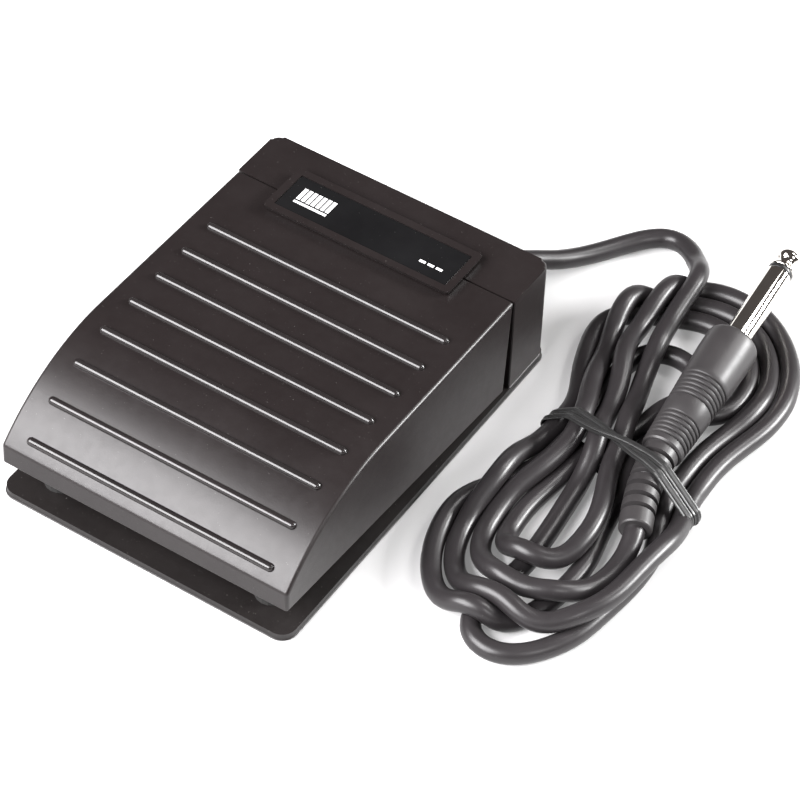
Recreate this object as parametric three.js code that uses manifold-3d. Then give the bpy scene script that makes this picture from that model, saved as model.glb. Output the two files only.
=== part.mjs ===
// Sustain pedal with a hinged treadle, its switch and its cord with a quarter-inch plug.
// Millimetres, +Z up. Origin: bottom centre of the pedal itself. +Y is the hinge end, where the
// cord leaves, and +X is the side on which the tied cord lies.
import * as THREE from 'three';
import { mergeVertices } from 'three/addons/utils/BufferGeometryUtils.js';
import Module from 'manifold-3d';

const wasm = await Module();
wasm.setup();

// ---------------------------------------------------------------- driving dimensions
const BASE_WIDTH = 76;
const BASE_LENGTH = 106.5;
const BASE_CORNER_RADIUS = 3.6;
const GRIP_THICKNESS = 0.7;
const GLUE_GAP = 0.1;
const BASE_TOP = 2.5;
const FIT_GAP = 0.3;

const HOUSING_TOP = 29.8;
const HOUSING_HALF_WIDTH = 37.3;
const HOUSING_REAR = 52.2;
const HOUSING_CORNER_RADIUS = 2.4;
const SEAM_Y = 36.65;
const WALL = 2.2;
const SIDE_DRAFT = 0.018;

const TREADLE_HALF_WIDTH = 37.2;
const TREADLE_FRONT = -52.5;
const LIP_BOTTOM = 10.2;
const DECK_HIGH = 30.6;
const DECK_HIGH_Y = -17.25;
const DECK_REAR = 29.9;
const CURVE_RADIUS = 47.7;
const REAR_EDGE_SETBACK = 1.75;
const SIDE_BOTTOM_REAR = 3.2;

const RIB_COUNT = 8;
const RIB_PITCH = 9.95;
const FIRST_RIB_Y = 17.25;
const RIB_HALF_LENGTH = 32.2;
const RIB_RADIUS = 0.95;

const HINGE_Y = 31.15;
const HINGE_Z = 24.4;
const PIN_RADIUS = 1.5;
const PIN_HOLE_RADIUS = 1.62;

const PLATE_CENTRE_X = -0.4;
const PLATE_HALF_WIDTH = 24.5;
const PLATE_FRONT = 29.35;
const PLATE_REAR = 43.75;
const PLATE_TOP = 31.5;
const PLATE_RIM = 1.5;
const PLATE_RECESS = 0.45;

const SPRING_Y = -8;
const SPRING_RADIUS = 4.2;
const SPRING_WIRE_RADIUS = 0.5;
const SPRING_TURNS = 7;
const SPRING_SEAT = 27;

const SWITCH_X = 14;
const SWITCH_BOTTOM = 7.5;
const SWITCH_TOP = 17.5;
const LEVER_PIVOT_Y = 19;
const LEVER_PIVOT_Z = 18.4;
const LEVER_TIP_Y = 1;
const LEVER_TIP_Z = 20.8;

const CORD_DIAMETER = 4.7;
const EXIT_X = 19.5;
const EXIT_Z = 9.6;
const GLAND_END_Y = 61.7;

const PLUG_FACE = new THREE.Vector3(76.3, 70.5, 11.9);
const PLUG_DIRECTION = new THREE.Vector3(-0.055, 0.992, 0.1).normalize();
const PLUG_BODY_LENGTH = 36;
const SLEEVE_RADIUS = 3.175;
const SLEEVE_LENGTH = 23.4;
const INSULATOR_LENGTH = 1.2;
const TIP_LENGTH = 6.4;

const TIE_CENTRE = new THREE.Vector3(70.8, 29.6, 0);
const TIE_TURN = -0.2;
const TIE_HALF_SPAN = 20.2;
const TIE_TOP = 13.2;
const TIE_WIDTH = 4;
const TIE_THICKNESS = 0.9;

// ---------------------------------------------------------------- finishes
const finish = (color, roughness, metalness = 0) => ({ color, roughness, metalness });
const BLACK_PLASTIC = finish(0x2b2828, 0.42);
const BASE_PLASTIC = finish(0x1c1a19, 0.3);
const RUBBER = finish(0x161616, 0.85);
const CORD_VINYL = finish(0x2f2d2f, 0.48);
const PLUG_PLASTIC = finish(0x2a2829, 0.5);
const NICKEL = finish(0xc9c6bf, 0.15, 1);
const STEEL = finish(0x9b9c9e, 0.35, 1);
const SPRING_STEEL = finish(0x80848a, 0.3, 1);
const BRASS = finish(0xb89a55, 0.3, 1);
const SWITCH_PLASTIC = finish(0x202428, 0.45);
const BUTTON_PLASTIC = finish(0xb1261e, 0.4);
const LABEL_FILM = finish(0x0d0c0d, 0.18);
const FELT = finish(0x6a6a66, 0.95);
const RED_WIRE = finish(0x9c1d18, 0.5);
const WHITE_WIRE = finish(0xd8d4ca, 0.5);

// ---------------------------------------------------------------- geometry helpers
function toSolid(geometry) {
  const bare = geometry.clone();
  bare.deleteAttribute('normal');
  bare.deleteAttribute('uv');
  const merged = mergeVertices(bare, 1e-4);
  return new wasm.Manifold(new wasm.Mesh({
    numProp: 3,
    vertProperties: new Float32Array(merged.attributes.position.array),
    triVerts: new Uint32Array(merged.index.array),
  }));
}

function toGeometry(solid) {
  const mesh = solid.getMesh();
  const geometry = new THREE.BufferGeometry();
  geometry.setAttribute('position', new THREE.BufferAttribute(mesh.vertProperties, 3));
  geometry.setIndex(new THREE.BufferAttribute(mesh.triVerts, 1));
  geometry.computeVertexNormals();
  return geometry;
}

function cut(body, ...tools) {
  return toGeometry(tools.reduce((solid, tool) => solid.subtract(toSolid(tool)), toSolid(body)));
}

function join(...bodies) {
  const [first, ...rest] = bodies.map(toSolid);
  return toGeometry(rest.reduce((solid, other) => solid.add(other), first));
}

function keepWithin(body, limit) {
  return toGeometry(toSolid(body).intersect(toSolid(limit)));
}

function block(x0, x1, y0, y1, z0, z1) {
  const geometry = new THREE.BoxGeometry(x1 - x0, y1 - y0, z1 - z0);
  return geometry.translate((x0 + x1) / 2, (y0 + y1) / 2, (z0 + z1) / 2);
}

function rod(radius, x, y, z0, z1, sides = 20) {
  const geometry = new THREE.CylinderGeometry(radius, radius, z1 - z0, sides);
  return geometry.rotateX(Math.PI / 2).translate(x, y, (z0 + z1) / 2);
}

function crossRod(radius, x0, x1, y, z, sides = 20) {
  const geometry = new THREE.CylinderGeometry(radius, radius, x1 - x0, sides);
  return geometry.rotateZ(Math.PI / 2).translate((x0 + x1) / 2, y, z);
}

function shapeOf(points) {
  return new THREE.Shape(points.map(([u, v]) => new THREE.Vector2(u, v)));
}

// A (y, z) outline drawn out along X.
function profileAlongX(points, x0, x1) {
  const geometry = new THREE.ExtrudeGeometry(shapeOf(points), { depth: x1 - x0, bevelEnabled: false });
  const turn = new THREE.Matrix4().set(0, 0, 1, x0, 1, 0, 0, 0, 0, 1, 0, 0, 0, 0, 0, 1);
  return geometry.applyMatrix4(turn);
}

// An (x, y) outline drawn up along Z.
function slab(shape, z0, z1, curveSegments = 5) {
  const options = { depth: z1 - z0, bevelEnabled: false, curveSegments };
  return new THREE.ExtrudeGeometry(shape, options).translate(0, 0, z0);
}

function roundedRectangle(x0, x1, y0, y1, frontRadius, rearRadius) {
  const shape = new THREE.Shape();
  shape.moveTo(x0 + frontRadius, y0);
  shape.lineTo(x1 - frontRadius, y0);
  if (frontRadius > 0) shape.absarc(x1 - frontRadius, y0 + frontRadius, frontRadius, -Math.PI / 2, 0);
  shape.lineTo(x1, y1 - rearRadius);
  if (rearRadius > 0) shape.absarc(x1 - rearRadius, y1 - rearRadius, rearRadius, 0, Math.PI / 2);
  shape.lineTo(x0 + rearRadius, y1);
  if (rearRadius > 0) shape.absarc(x0 + rearRadius, y1 - rearRadius, rearRadius, Math.PI / 2, Math.PI);
  shape.lineTo(x0, y0 + frontRadius);
  if (frontRadius > 0) shape.absarc(x0 + frontRadius, y0 + frontRadius, frontRadius, Math.PI, 1.5 * Math.PI);
  return shape;
}

// Leans the side walls outward towards the bottom, by the mould's draft.
function draftSides(geometry, topZ) {
  const position = geometry.attributes.position;
  for (let i = 0; i < position.count; i += 1) {
    const lean = SIDE_DRAFT * (topZ - position.getZ(i));
    position.setX(i, position.getX(i) + Math.sign(position.getX(i)) * lean);
  }
  return geometry;
}

// A turned solid: its (radius, height) profile spun about an axis that starts at origin.
function turned(profile, sides, origin, direction) {
  const points = profile.map(([radius, height]) => new THREE.Vector2(radius, height));
  const geometry = new THREE.LatheGeometry(points, sides);
  const aim = new THREE.Quaternion().setFromUnitVectors(new THREE.Vector3(0, 1, 0), direction);
  return geometry.applyQuaternion(aim).translate(origin.x, origin.y, origin.z);
}

function roundSection(radius, sides) {
  const shape = new THREE.Shape();
  for (let i = 0; i < sides; i += 1) {
    const angle = (i / sides) * 2 * Math.PI;
    const x = radius * Math.cos(angle);
    const y = radius * Math.sin(angle);
    if (i === 0) shape.moveTo(x, y);
    else shape.lineTo(x, y);
  }
  return shape;
}

function tubeAlong(points, radius, sides, steps) {
  const places = points.map((point) => new THREE.Vector3(...point));
  const route = new THREE.CatmullRomCurve3(places, false, 'centripetal');
  return new THREE.ExtrudeGeometry(roundSection(radius, sides), { steps, extrudePath: route });
}

const object = new THREE.Group();

function addPiece(name, geometry, look) {
  const material = new THREE.MeshStandardMaterial(look);
  const mesh = new THREE.Mesh(geometry, material);
  mesh.name = name;
  object.add(mesh);
}

// ---------------------------------------------------------------- base
const SCREW_X = 30;
const SCREW_Y = 44.6;
const BUMPER_X = 28;
const BUMPER_Y = -44;
const BUMPER_TOP = 5.6;
const RIVET_Y = -30.5;
const HOOK_REAR = -35.1;
const HOOK_TOP = 14.8;
const CATCH_TOP = 12.9;
const CLAMP_SPREAD = 4.9;
const CLAMP_Y = 42.4;
const CLAMP_DROP = 0.9;

function basePlate() {
  const halfWidth = BASE_WIDTH / 2;
  const halfLength = BASE_LENGTH / 2;
  const bottom = GRIP_THICKNESS + GLUE_GAP;
  const corner = BASE_CORNER_RADIUS;
  const outline = roundedRectangle(-halfWidth, halfWidth, -halfLength, halfLength, corner, corner);
  const plate = slab(outline, bottom, BASE_TOP);
  const springPost = rod(3.1, 0, SPRING_Y, 2, 8, 16);
  const switchWall = block(SWITCH_X + 3.6, SWITCH_X + 6.8, 2, 18, 2, 14);
  const solid = join(plate, springPost, switchWall);
  const holes = [rod(1.25, 0, RIVET_Y, 0, 4, 12)];
  for (const side of [-1, 1]) {
    holes.push(rod(1.6, side * SCREW_X, SCREW_Y, 0, 4, 16));
    holes.push(rod(3.1, side * SCREW_X, SCREW_Y, 0, bottom + 1.05, 16));
    holes.push(rod(1.1, EXIT_X + side * CLAMP_SPREAD, CLAMP_Y, 0, 4, 12));
  }
  for (const y of [5.5, 14.5]) {
    holes.push(crossRod(1.0, SWITCH_X + 3.4, SWITCH_X + 7.2, y, 10.5, 12));
  }
  return cut(solid, ...holes);
}

function gripSheet() {
  const halfWidth = BASE_WIDTH / 2 - 0.9;
  const halfLength = BASE_LENGTH / 2 - 0.9;
  return slab(roundedRectangle(-halfWidth, halfWidth, -halfLength, halfLength, 3, 3), 0, GRIP_THICKNESS, 4);
}

function bumper(side) {
  const profile = [[0, 0], [4, 0], [4, 2.2], [3.3, 3], [0, 3]];
  const foot = new THREE.Vector3(side * BUMPER_X, BUMPER_Y, BUMPER_TOP - 3);
  return turned(profile, 18, foot, new THREE.Vector3(0, 0, 1));
}

// ---------------------------------------------------------------- rear housing
function rearHousing() {
  const front = SEAM_Y + 0.15;
  const floor = BASE_TOP + GLUE_GAP;
  const w = HOUSING_HALF_WIDTH;
  const outer = draftSides(
    slab(roundedRectangle(-w, w, front, HOUSING_REAR, 0, HOUSING_CORNER_RADIUS), floor, HOUSING_TOP),
    HOUSING_TOP,
  );
  const inner = draftSides(
    block(-w + WALL, w - WALL, front + WALL, HOUSING_REAR - WALL, 0, HOUSING_TOP - WALL),
    HOUSING_TOP,
  );
  const additions = [];
  const cuts = [];
  for (const side of [-1, 1]) {
    additions.push(rod(3.3, side * SCREW_X, SCREW_Y, floor, HOUSING_TOP - 1, 18));
    additions.push(block(side * 23.5 - 3, side * 23.5 + 3, 27.4, front + 0.5, 20.6, 27.1));
    cuts.push(rod(1.35, side * SCREW_X, SCREW_Y, 0, 14, 16));
    cuts.push(crossRod(PIN_HOLE_RADIUS, side * 23.5 - 4, side * 23.5 + 4, HINGE_Y, HINGE_Z, 20));
  }
  const glandHole = rod(4.3, 0, 0, -5, 5, 20).rotateX(Math.PI / 2).translate(EXIT_X, HOUSING_REAR, EXIT_Z);
  const wireNotch = block(8, 20, front - 1, front + WALL + 1, 0, 8);
  return cut(join(cut(outer, inner), ...additions), ...cuts, glandHole, wireNotch);
}

// ---------------------------------------------------------------- treadle
const curveCentre = { y: DECK_HIGH_Y, z: DECK_HIGH - CURVE_RADIUS };

// Points of the curved front, from a start height up to the deck, on an inset radius.
function curvePoints(radius, fromY, count) {
  const start = Math.acos((fromY - curveCentre.y) / radius);
  const points = [];
  for (let i = 0; i <= count; i += 1) {
    const angle = start + (Math.PI / 2 - start) * (i / count);
    points.push([curveCentre.y + radius * Math.cos(angle), curveCentre.z + radius * Math.sin(angle)]);
  }
  return points;
}

// Where a rib sits: distance measured along the deck and curve, from the rearmost rib.
function placeOnTop(distance) {
  const onDeck = FIRST_RIB_Y - distance;
  if (onDeck >= DECK_HIGH_Y) {
    const slope = (DECK_REAR - DECK_HIGH) / (SEAM_Y - DECK_HIGH_Y);
    return { y: onDeck, z: DECK_HIGH + slope * (onDeck - DECK_HIGH_Y), tilt: 0 };
  }
  const angle = (DECK_HIGH_Y - onDeck) / CURVE_RADIUS;
  return {
    y: curveCentre.y - CURVE_RADIUS * Math.sin(angle),
    z: curveCentre.z + CURVE_RADIUS * Math.cos(angle),
    tilt: angle,
  };
}

function rib(index) {
  const place = placeOnTop(index * RIB_PITCH);
  const bar = new THREE.CapsuleGeometry(RIB_RADIUS, 2 * (RIB_HALF_LENGTH - RIB_RADIUS), 2, 8);
  return bar.rotateZ(Math.PI / 2).rotateX(place.tilt).translate(0, place.y, place.z - 0.1);
}

function treadle() {
  const rear = SEAM_Y - 0.2;
  const outline = [
    [TREADLE_FRONT, LIP_BOTTOM],
    [rear - REAR_EDGE_SETBACK, SIDE_BOTTOM_REAR],
    [rear, DECK_REAR],
    ...curvePoints(CURVE_RADIUS, TREADLE_FRONT, 12).reverse(),
  ];
  const hollow = [
    [TREADLE_FRONT + 2, 0],
    [rear + 5, 0],
    [rear + 5, DECK_REAR - WALL],
    ...curvePoints(CURVE_RADIUS - WALL, TREADLE_FRONT + 2, 8).reverse(),
  ];
  const w = TREADLE_HALF_WIDTH;
  const outer = draftSides(profileAlongX(outline, -w, w), DECK_REAR);
  const inner = draftSides(profileAlongX(hollow, -w + WALL, w - WALL), DECK_REAR);
  const inside = [
    rod(6.6, 0, SPRING_Y, 25, 31, 20),
    block(SWITCH_X - 2, SWITCH_X + 2, 0.8, 3.2, 21.3, 31),
    block(-6, 6, TREADLE_FRONT, HOOK_REAR - 3.6, CATCH_TOP - 1.6, CATCH_TOP),
  ];
  const holes = [rod(5.4, 0, SPRING_Y, 20, SPRING_SEAT, 20)];
  for (const side of [-1, 1]) {
    for (const x of [18.5, 28.5]) {
      inside.push(block(side * x - 1.6, side * x + 1.6, 27.6, 34.6, 20.8, 31));
    }
    inside.push(rod(3.4, side * BUMPER_X, BUMPER_Y, 10.9, 25, 14));
    holes.push(crossRod(PIN_HOLE_RADIUS, side * 23.5 - 8, side * 23.5 + 8, HINGE_Y, HINGE_Z, 20));
  }
  const ribs = Array.from({ length: RIB_COUNT }, (_, index) => rib(index));
  return cut(join(cut(outer, inner), keepWithin(join(...inside), outer), ...ribs), ...holes);
}

function nameplateFrame() {
  const x0 = PLATE_CENTRE_X - PLATE_HALF_WIDTH;
  const x1 = PLATE_CENTRE_X + PLATE_HALF_WIDTH;
  const bottom = 30.35;
  const body = slab(roundedRectangle(x0, x1, PLATE_FRONT, PLATE_REAR, 0.6, 0.6), bottom, PLATE_TOP, 3);
  const recess = block(x0 + PLATE_RIM, x1 - PLATE_RIM, PLATE_FRONT + PLATE_RIM, PLATE_REAR - PLATE_RIM,
    PLATE_TOP - PLATE_RECESS, PLATE_TOP + 1);
  return cut(body, recess);
}

function nameplateLabel() {
  const inset = PLATE_RIM + 0.15;
  const bottom = PLATE_TOP - PLATE_RECESS + 0.05;
  return block(
    PLATE_CENTRE_X - PLATE_HALF_WIDTH + inset,
    PLATE_CENTRE_X + PLATE_HALF_WIDTH - inset,
    PLATE_FRONT + inset,
    PLATE_REAR - inset,
    bottom,
    bottom + 0.22,
  );
}

// ---------------------------------------------------------------- inside the pedal
function hingePin(side) {
  return crossRod(PIN_RADIUS, side * 23.5 - 6.9, side * 23.5 + 6.9, HINGE_Y, HINGE_Z, 20);
}

// A coil spring whose first and last turns lie closed.
function returnSpring() {
  const closedPitch = 2 * SPRING_WIRE_RADIUS + 0.06;
  const low = BASE_TOP + GLUE_GAP + SPRING_WIRE_RADIUS;
  const high = SPRING_SEAT - GLUE_GAP - SPRING_WIRE_RADIUS;
  const openPitch = (high - low - 2 * closedPitch) / (SPRING_TURNS - 2);
  const stepsPerTurn = 10;
  const points = [];
  for (let i = 0; i <= SPRING_TURNS * stepsPerTurn; i += 1) {
    const turn = i / stepsPerTurn;
    const openTurns = THREE.MathUtils.clamp(turn - 1, 0, SPRING_TURNS - 2);
    const closedTurns = turn - openTurns;
    const angle = turn * 2 * Math.PI;
    points.push([
      SPRING_RADIUS * Math.cos(angle),
      SPRING_Y + SPRING_RADIUS * Math.sin(angle),
      low + closedPitch * closedTurns + openPitch * openTurns,
    ]);
  }
  return tubeAlong(points, SPRING_WIRE_RADIUS, 6, points.length - 1);
}

function stopBracket() {
  const foot = BASE_TOP + GLUE_GAP;
  const sheet = 1;
  const rear = HOOK_REAR + 8.6;
  const tip = HOOK_REAR - 6.9;
  const outline = [
    [rear, foot],
    [rear, foot + sheet],
    [HOOK_REAR, foot + sheet],
    [HOOK_REAR, HOOK_TOP],
    [tip, HOOK_TOP],
    [tip, HOOK_TOP - sheet],
    [HOOK_REAR - sheet, HOOK_TOP - sheet],
    [HOOK_REAR - sheet, foot],
  ];
  return cut(profileAlongX(outline.reverse(), -5, 5), rod(1.25, 0, RIVET_Y, 0, 6, 12));
}

function stopRivet() {
  const profile = [[0, 0], [1, 0], [1, 2.85], [2.3, 2.85], [1.7, 3.7], [0, 3.9]];
  const foot = new THREE.Vector3(0, RIVET_Y, 0.85);
  return turned(profile, 12, foot, new THREE.Vector3(0, 0, 1));
}

function stopPad() {
  return block(-5.5, 5.5, HOOK_REAR - 9, HOOK_REAR - 4, CATCH_TOP + GLUE_GAP, CATCH_TOP + 0.6);
}

function switchBody() {
  const body = block(SWITCH_X - 3.2, SWITCH_X + 3.2, 0, 20, SWITCH_BOTTOM, SWITCH_TOP);
  const pocket = block(SWITCH_X - 1.3, SWITCH_X + 1.3, 12.4, 15.6, 14.5, 19);
  const holes = [5.5, 14.5].map((y) => crossRod(1.1, SWITCH_X - 4, SWITCH_X + 4, y, 10.5, 12));
  const slots = [2.5, 9.5, 17.5].map((y) => block(SWITCH_X - 1.6, SWITCH_X + 1.6, y - 0.5, y + 0.5, 7, 8.6));
  const hingeSlot = block(SWITCH_X - 2.3, SWITCH_X + 2.3, 18.1, 21, 16.6, 18);
  return cut(body, pocket, ...holes, ...slots, hingeSlot);
}

function switchTerminal(y) {
  const blade = block(SWITCH_X - 1.4, SWITCH_X + 1.4, y - 0.25, y + 0.25, 4.4, 8.4);
  return cut(blade, rod(0.5, 0, 0, -2, 2, 8).rotateX(Math.PI / 2).translate(SWITCH_X, y, 5.4));
}

function switchScrew(y) {
  const profile = [[0, 0], [1.9, 0], [1.9, 0.9], [0.8, 0.9], [0.8, 9.6], [0, 10.2]];
  const head = new THREE.Vector3(SWITCH_X - 4.3, y, 10.5);
  return turned(profile, 12, head, new THREE.Vector3(1, 0, 0));
}

function switchLever() {
  const rise = (LEVER_TIP_Z - LEVER_PIVOT_Z) / (LEVER_PIVOT_Y - LEVER_TIP_Y);
  const thickness = 0.4;
  const heightAt = (y) => LEVER_PIVOT_Z + rise * (LEVER_PIVOT_Y - y);
  const outline = [
    [LEVER_TIP_Y, heightAt(LEVER_TIP_Y) - thickness],
    [LEVER_PIVOT_Y, heightAt(LEVER_PIVOT_Y) - thickness],
    [LEVER_PIVOT_Y, LEVER_PIVOT_Z - 1.3],
    [LEVER_PIVOT_Y + thickness, LEVER_PIVOT_Z - 1.3],
    [LEVER_PIVOT_Y + thickness, LEVER_PIVOT_Z],
    [LEVER_TIP_Y, heightAt(LEVER_TIP_Y)],
  ];
  return profileAlongX(outline, SWITCH_X - 1.8, SWITCH_X + 1.8);
}

function switchPlunger() {
  return block(SWITCH_X - 0.9, SWITCH_X + 0.9, 12.9, 15.1, 15.4, 18.3);
}

const SIGNAL_ROUTE = [[14, 18.4, 5], [14.2, 24, 4], [15, 31, 4], [17, 36, 5], [18.6, 39.6, 6.6]];
const SHIELD_ROUTE = [
  [14, 1.3, 5], [10.6, 1.0, 4.2], [9, 6, 3.7], [9.2, 14, 3.6], [10, 28, 3.6], [14, 35, 4.2],
  [16.6, 39.2, 6.2],
];

const WIRE_RADIUS = 0.6;

function wire(points) {
  return tubeAlong(points, WIRE_RADIUS, 8, 14);
}

function housingScrew(side) {
  const profile = [[0, 0], [2.8, 0], [2.8, 0.5], [1.2, 1], [1.2, 10.5], [0, 11.6]];
  const head = new THREE.Vector3(side * SCREW_X, SCREW_Y, GRIP_THICKNESS + GLUE_GAP + 0.05);
  return turned(profile, 14, head, new THREE.Vector3(0, 0, 1));
}

function cableClamp() {
  const half = CLAMP_SPREAD + 1.9;
  const bar = block(EXIT_X - half, EXIT_X + half, CLAMP_Y - 2.5, CLAMP_Y + 2.5, BASE_TOP + GLUE_GAP, 10);
  const saddle = rod(CORD_DIAMETER / 2 + 0.15, 0, 0, -6, 6, 16).rotateX(Math.PI / 2)
    .translate(EXIT_X, CLAMP_Y, EXIT_Z - CLAMP_DROP);
  const clear = block(EXIT_X - 2.5, EXIT_X + 2.5, CLAMP_Y - 5, CLAMP_Y + 5, EXIT_Z - CLAMP_DROP, 12);
  const shelf = [-1, 1].map((side) => block(
    Math.min(EXIT_X + side * 2.9, EXIT_X + side * 12),
    Math.max(EXIT_X + side * 2.9, EXIT_X + side * 12),
    CLAMP_Y - 3, CLAMP_Y + 3, 6.6, 12,
  ));
  const holes = [-1, 1].map((side) => rod(1.2, EXIT_X + side * CLAMP_SPREAD, CLAMP_Y, 0, 12, 12));
  return cut(bar, saddle, clear, ...shelf, ...holes);
}

function clampScrew(side) {
  const profile = [[0, 0], [0.95, 0.4], [0.95, 5.75], [1.7, 5.75], [1.7, 6.8], [0, 7.1]];
  const foot = new THREE.Vector3(EXIT_X + side * CLAMP_SPREAD, CLAMP_Y, 0.95);
  return turned(profile, 12, foot, new THREE.Vector3(0, 0, 1));
}

// ---------------------------------------------------------------- cord, tie and plug
function cableGland() {
  const bore = CORD_DIAMETER / 2 + 0.15;
  const inside = HOUSING_REAR - WALL - 1.6;
  const profile = [
    [bore, inside], [5.2, inside], [5.2, HOUSING_REAR - WALL - 0.3], [4, HOUSING_REAR - WALL - 0.3],
    [4, HOUSING_REAR + 0.75], [5, HOUSING_REAR + 0.75], [5, HOUSING_REAR + 1.8], [4, HOUSING_REAR + 2.4],
    [3.1, GLAND_END_Y], [bore, GLAND_END_Y], [bore, inside],
  ];
  return turned(profile, 18, new THREE.Vector3(EXIT_X, 0, EXIT_Z), new THREE.Vector3(0, 1, 0));
}

// The cord from its clamp inside the pedal, out of the gland's mouth and along the surface to
// the tied part.
const LEAD_ROUTE = [
  [EXIT_X, 39.8, EXIT_Z - CLAMP_DROP], [EXIT_X, 42.4, EXIT_Z - CLAMP_DROP],
  [EXIT_X, 45.2, EXIT_Z - CLAMP_DROP + 0.4], [EXIT_X, 48, EXIT_Z], [EXIT_X, 50, EXIT_Z], [EXIT_X, 56, EXIT_Z],
  [EXIT_X, GLAND_END_Y, EXIT_Z], [19.7, 65.2, 9.3], [21.0, 69.0, 8.3], [23.5, 73.0, 6.7], [26.5, 77.4, 5.0],
  [29.5, 82.8, 3.5], [32.5, 88.3, 2.7], [35.6, 93.7, 2.4], [38.5, 97.7, 2.4], [42.0, 100.6, 2.5],
  [46.0, 101.0, 2.9], [50.0, 98.7, 3.8], [52.8, 94.6, 4.8], [54.4, 91.6, 5.5], [55.0, 90.0, 6.0],
];

function cableLead() {
  return tubeAlong(LEAD_ROUTE, CORD_DIAMETER / 2, 10, 44);
}

const HANK_OUTLINE = [
  [44.6, -2], [46.4, -17], [54.5, -29], [66, -36.2], [79, -38], [89.5, -30], [94.2, -14], [94, 4], [91.6, 20],
  [92, 36], [96, 52], [97.4, 66], [94, 82], [85, 93], [73, 97.6], [63, 96.4], [59, 92.6], [58.6, 89],
  [52, 88], [46.4, 82.5], [42.6, 73], [43.6, 60], [48.6, 46], [50.4, 34], [48.4, 20], [45.8, 8],
];
const HANK_TOP = 11.5;

// The strain relief's own curve, from the back of the plug's grip to where the cord enters it.
const RELIEF_ROUTE = [
  [78.2, 36.5, 8.4], [78.9, 30.5, 8.0], [80.2, 24.5, 7.7], [82.2, 18.4, 7.3], [84.7, 12.4, 6.9],
];

// The room that the plug and its strain relief need in the tied cord.
function plugTroughs() {
  const back = PLUG_DIRECTION.clone().negate();
  const up = new THREE.Vector3(0, 0, 1);
  const trough = (from, to, halfWidth) => {
    const length = from.distanceTo(to);
    const direction = to.clone().sub(from).normalize();
    const across = new THREE.Vector3().crossVectors(direction, up).normalize();
    const raised = new THREE.Vector3().crossVectors(across, direction);
    const box = new THREE.BoxGeometry(2 * halfWidth, length, 20).translate(0, length / 2, 10 - halfWidth);
    return box.applyMatrix4(new THREE.Matrix4().makeBasis(across, direction, raised))
      .translate(from.x, from.y, from.z);
  };
  const ahead = PLUG_FACE.clone().addScaledVector(PLUG_DIRECTION, 36);
  const shoulder = PLUG_FACE.clone().addScaledVector(back, PLUG_BODY_LENGTH + 0.3);
  const bend = new THREE.Vector3(...RELIEF_ROUTE[2]);
  const end = new THREE.Vector3(...RELIEF_ROUTE[4]);
  const stretch = (from, to, by) => to.clone().addScaledVector(to.clone().sub(from).normalize(), by);
  return [
    trough(ahead, shoulder, 6.9),
    trough(stretch(bend, shoulder, 1), bend, 4.9),
    trough(stretch(end, bend, 1), stretch(bend, end, 0.35), 4.9),
  ];
}

function tieLoop(halfSpan, bottom, top, width) {
  const corner = Math.min(5, (top - bottom) / 2 - 0.1);
  const shape = roundedRectangle(-halfSpan, halfSpan, bottom, top, corner, corner);
  const geometry = new THREE.ExtrudeGeometry(shape, { depth: width, bevelEnabled: false, curveSegments: 5 });
  return geometry.translate(0, 0, -width / 2).rotateX(Math.PI / 2).rotateZ(TIE_TURN)
    .translate(TIE_CENTRE.x, TIE_CENTRE.y, TIE_CENTRE.z);
}

function twistTie() {
  const t = TIE_THICKNESS;
  return cut(
    tieLoop(TIE_HALF_SPAN, 0.05, TIE_TOP, TIE_WIDTH),
    tieLoop(TIE_HALF_SPAN - t, 0.05 + t, TIE_TOP - t, TIE_WIDTH + 2),
  );
}

function cableHank() {
  const points = HANK_OUTLINE.map(([x, y]) => new THREE.Vector2(x, y));
  const closed = new THREE.SplineCurve([...points, points[0]]).getPoints(52).slice(0, -1);
  const body = slab(new THREE.Shape(closed), 0, HANK_TOP);
  const t = TIE_THICKNESS;
  const groove = cut(
    tieLoop(TIE_HALF_SPAN + 10, -10, TIE_TOP + 20, TIE_WIDTH + 0.6),
    tieLoop(TIE_HALF_SPAN - t - FIT_GAP, 0.05 + t + FIT_GAP, TIE_TOP - t - FIT_GAP, TIE_WIDTH + 4),
  );
  return cut(body, groove, ...plugTroughs());
}

function plugBody() {
  const grooveDepth = 0.5;
  const length = PLUG_BODY_LENGTH;
  const radiusAt = (distance) => 6.3 - 1.3 * Math.max(0, (distance - 8) / (length - 8));
  const profile = [[3.4, 0], [5.6, 0], [6.3, 0.7], [radiusAt(15), 15]];
  for (const start of [16, 28]) {
    for (let i = 0; i < 4; i += 1) {
      const s = start + i * 1.6;
      profile.push([radiusAt(s), s], [radiusAt(s) - grooveDepth, s], [radiusAt(s) - grooveDepth, s + 0.7]);
      profile.push([radiusAt(s), s + 0.7]);
    }
  }
  profile.push([radiusAt(length), length], [0, length], [0, 26], [3.4, 26], [3.4, 0]);
  const back = PLUG_DIRECTION.clone().negate();
  const grip = turned(profile, 16, PLUG_FACE, back);
  return join(grip, tubeAlong(RELIEF_ROUTE, 3.9, 12, 8));
}

function plugSleeve() {
  const start = -8;
  const profile = [
    [1.7, start], [SLEEVE_RADIUS, start], [SLEEVE_RADIUS, SLEEVE_LENGTH], [1.7, SLEEVE_LENGTH], [1.7, start],
  ];
  return turned(profile, 20, PLUG_FACE, PLUG_DIRECTION);
}

function plugInsulator() {
  const start = SLEEVE_LENGTH + 0.05;
  const end = start + INSULATOR_LENGTH;
  const profile = [
    [1.15, -7], [1.5, -7], [1.5, start], [SLEEVE_RADIUS - 0.1, start], [SLEEVE_RADIUS - 0.1, end],
    [1.15, end], [1.15, -7],
  ];
  return turned(profile, 20, PLUG_FACE, PLUG_DIRECTION);
}

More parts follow.
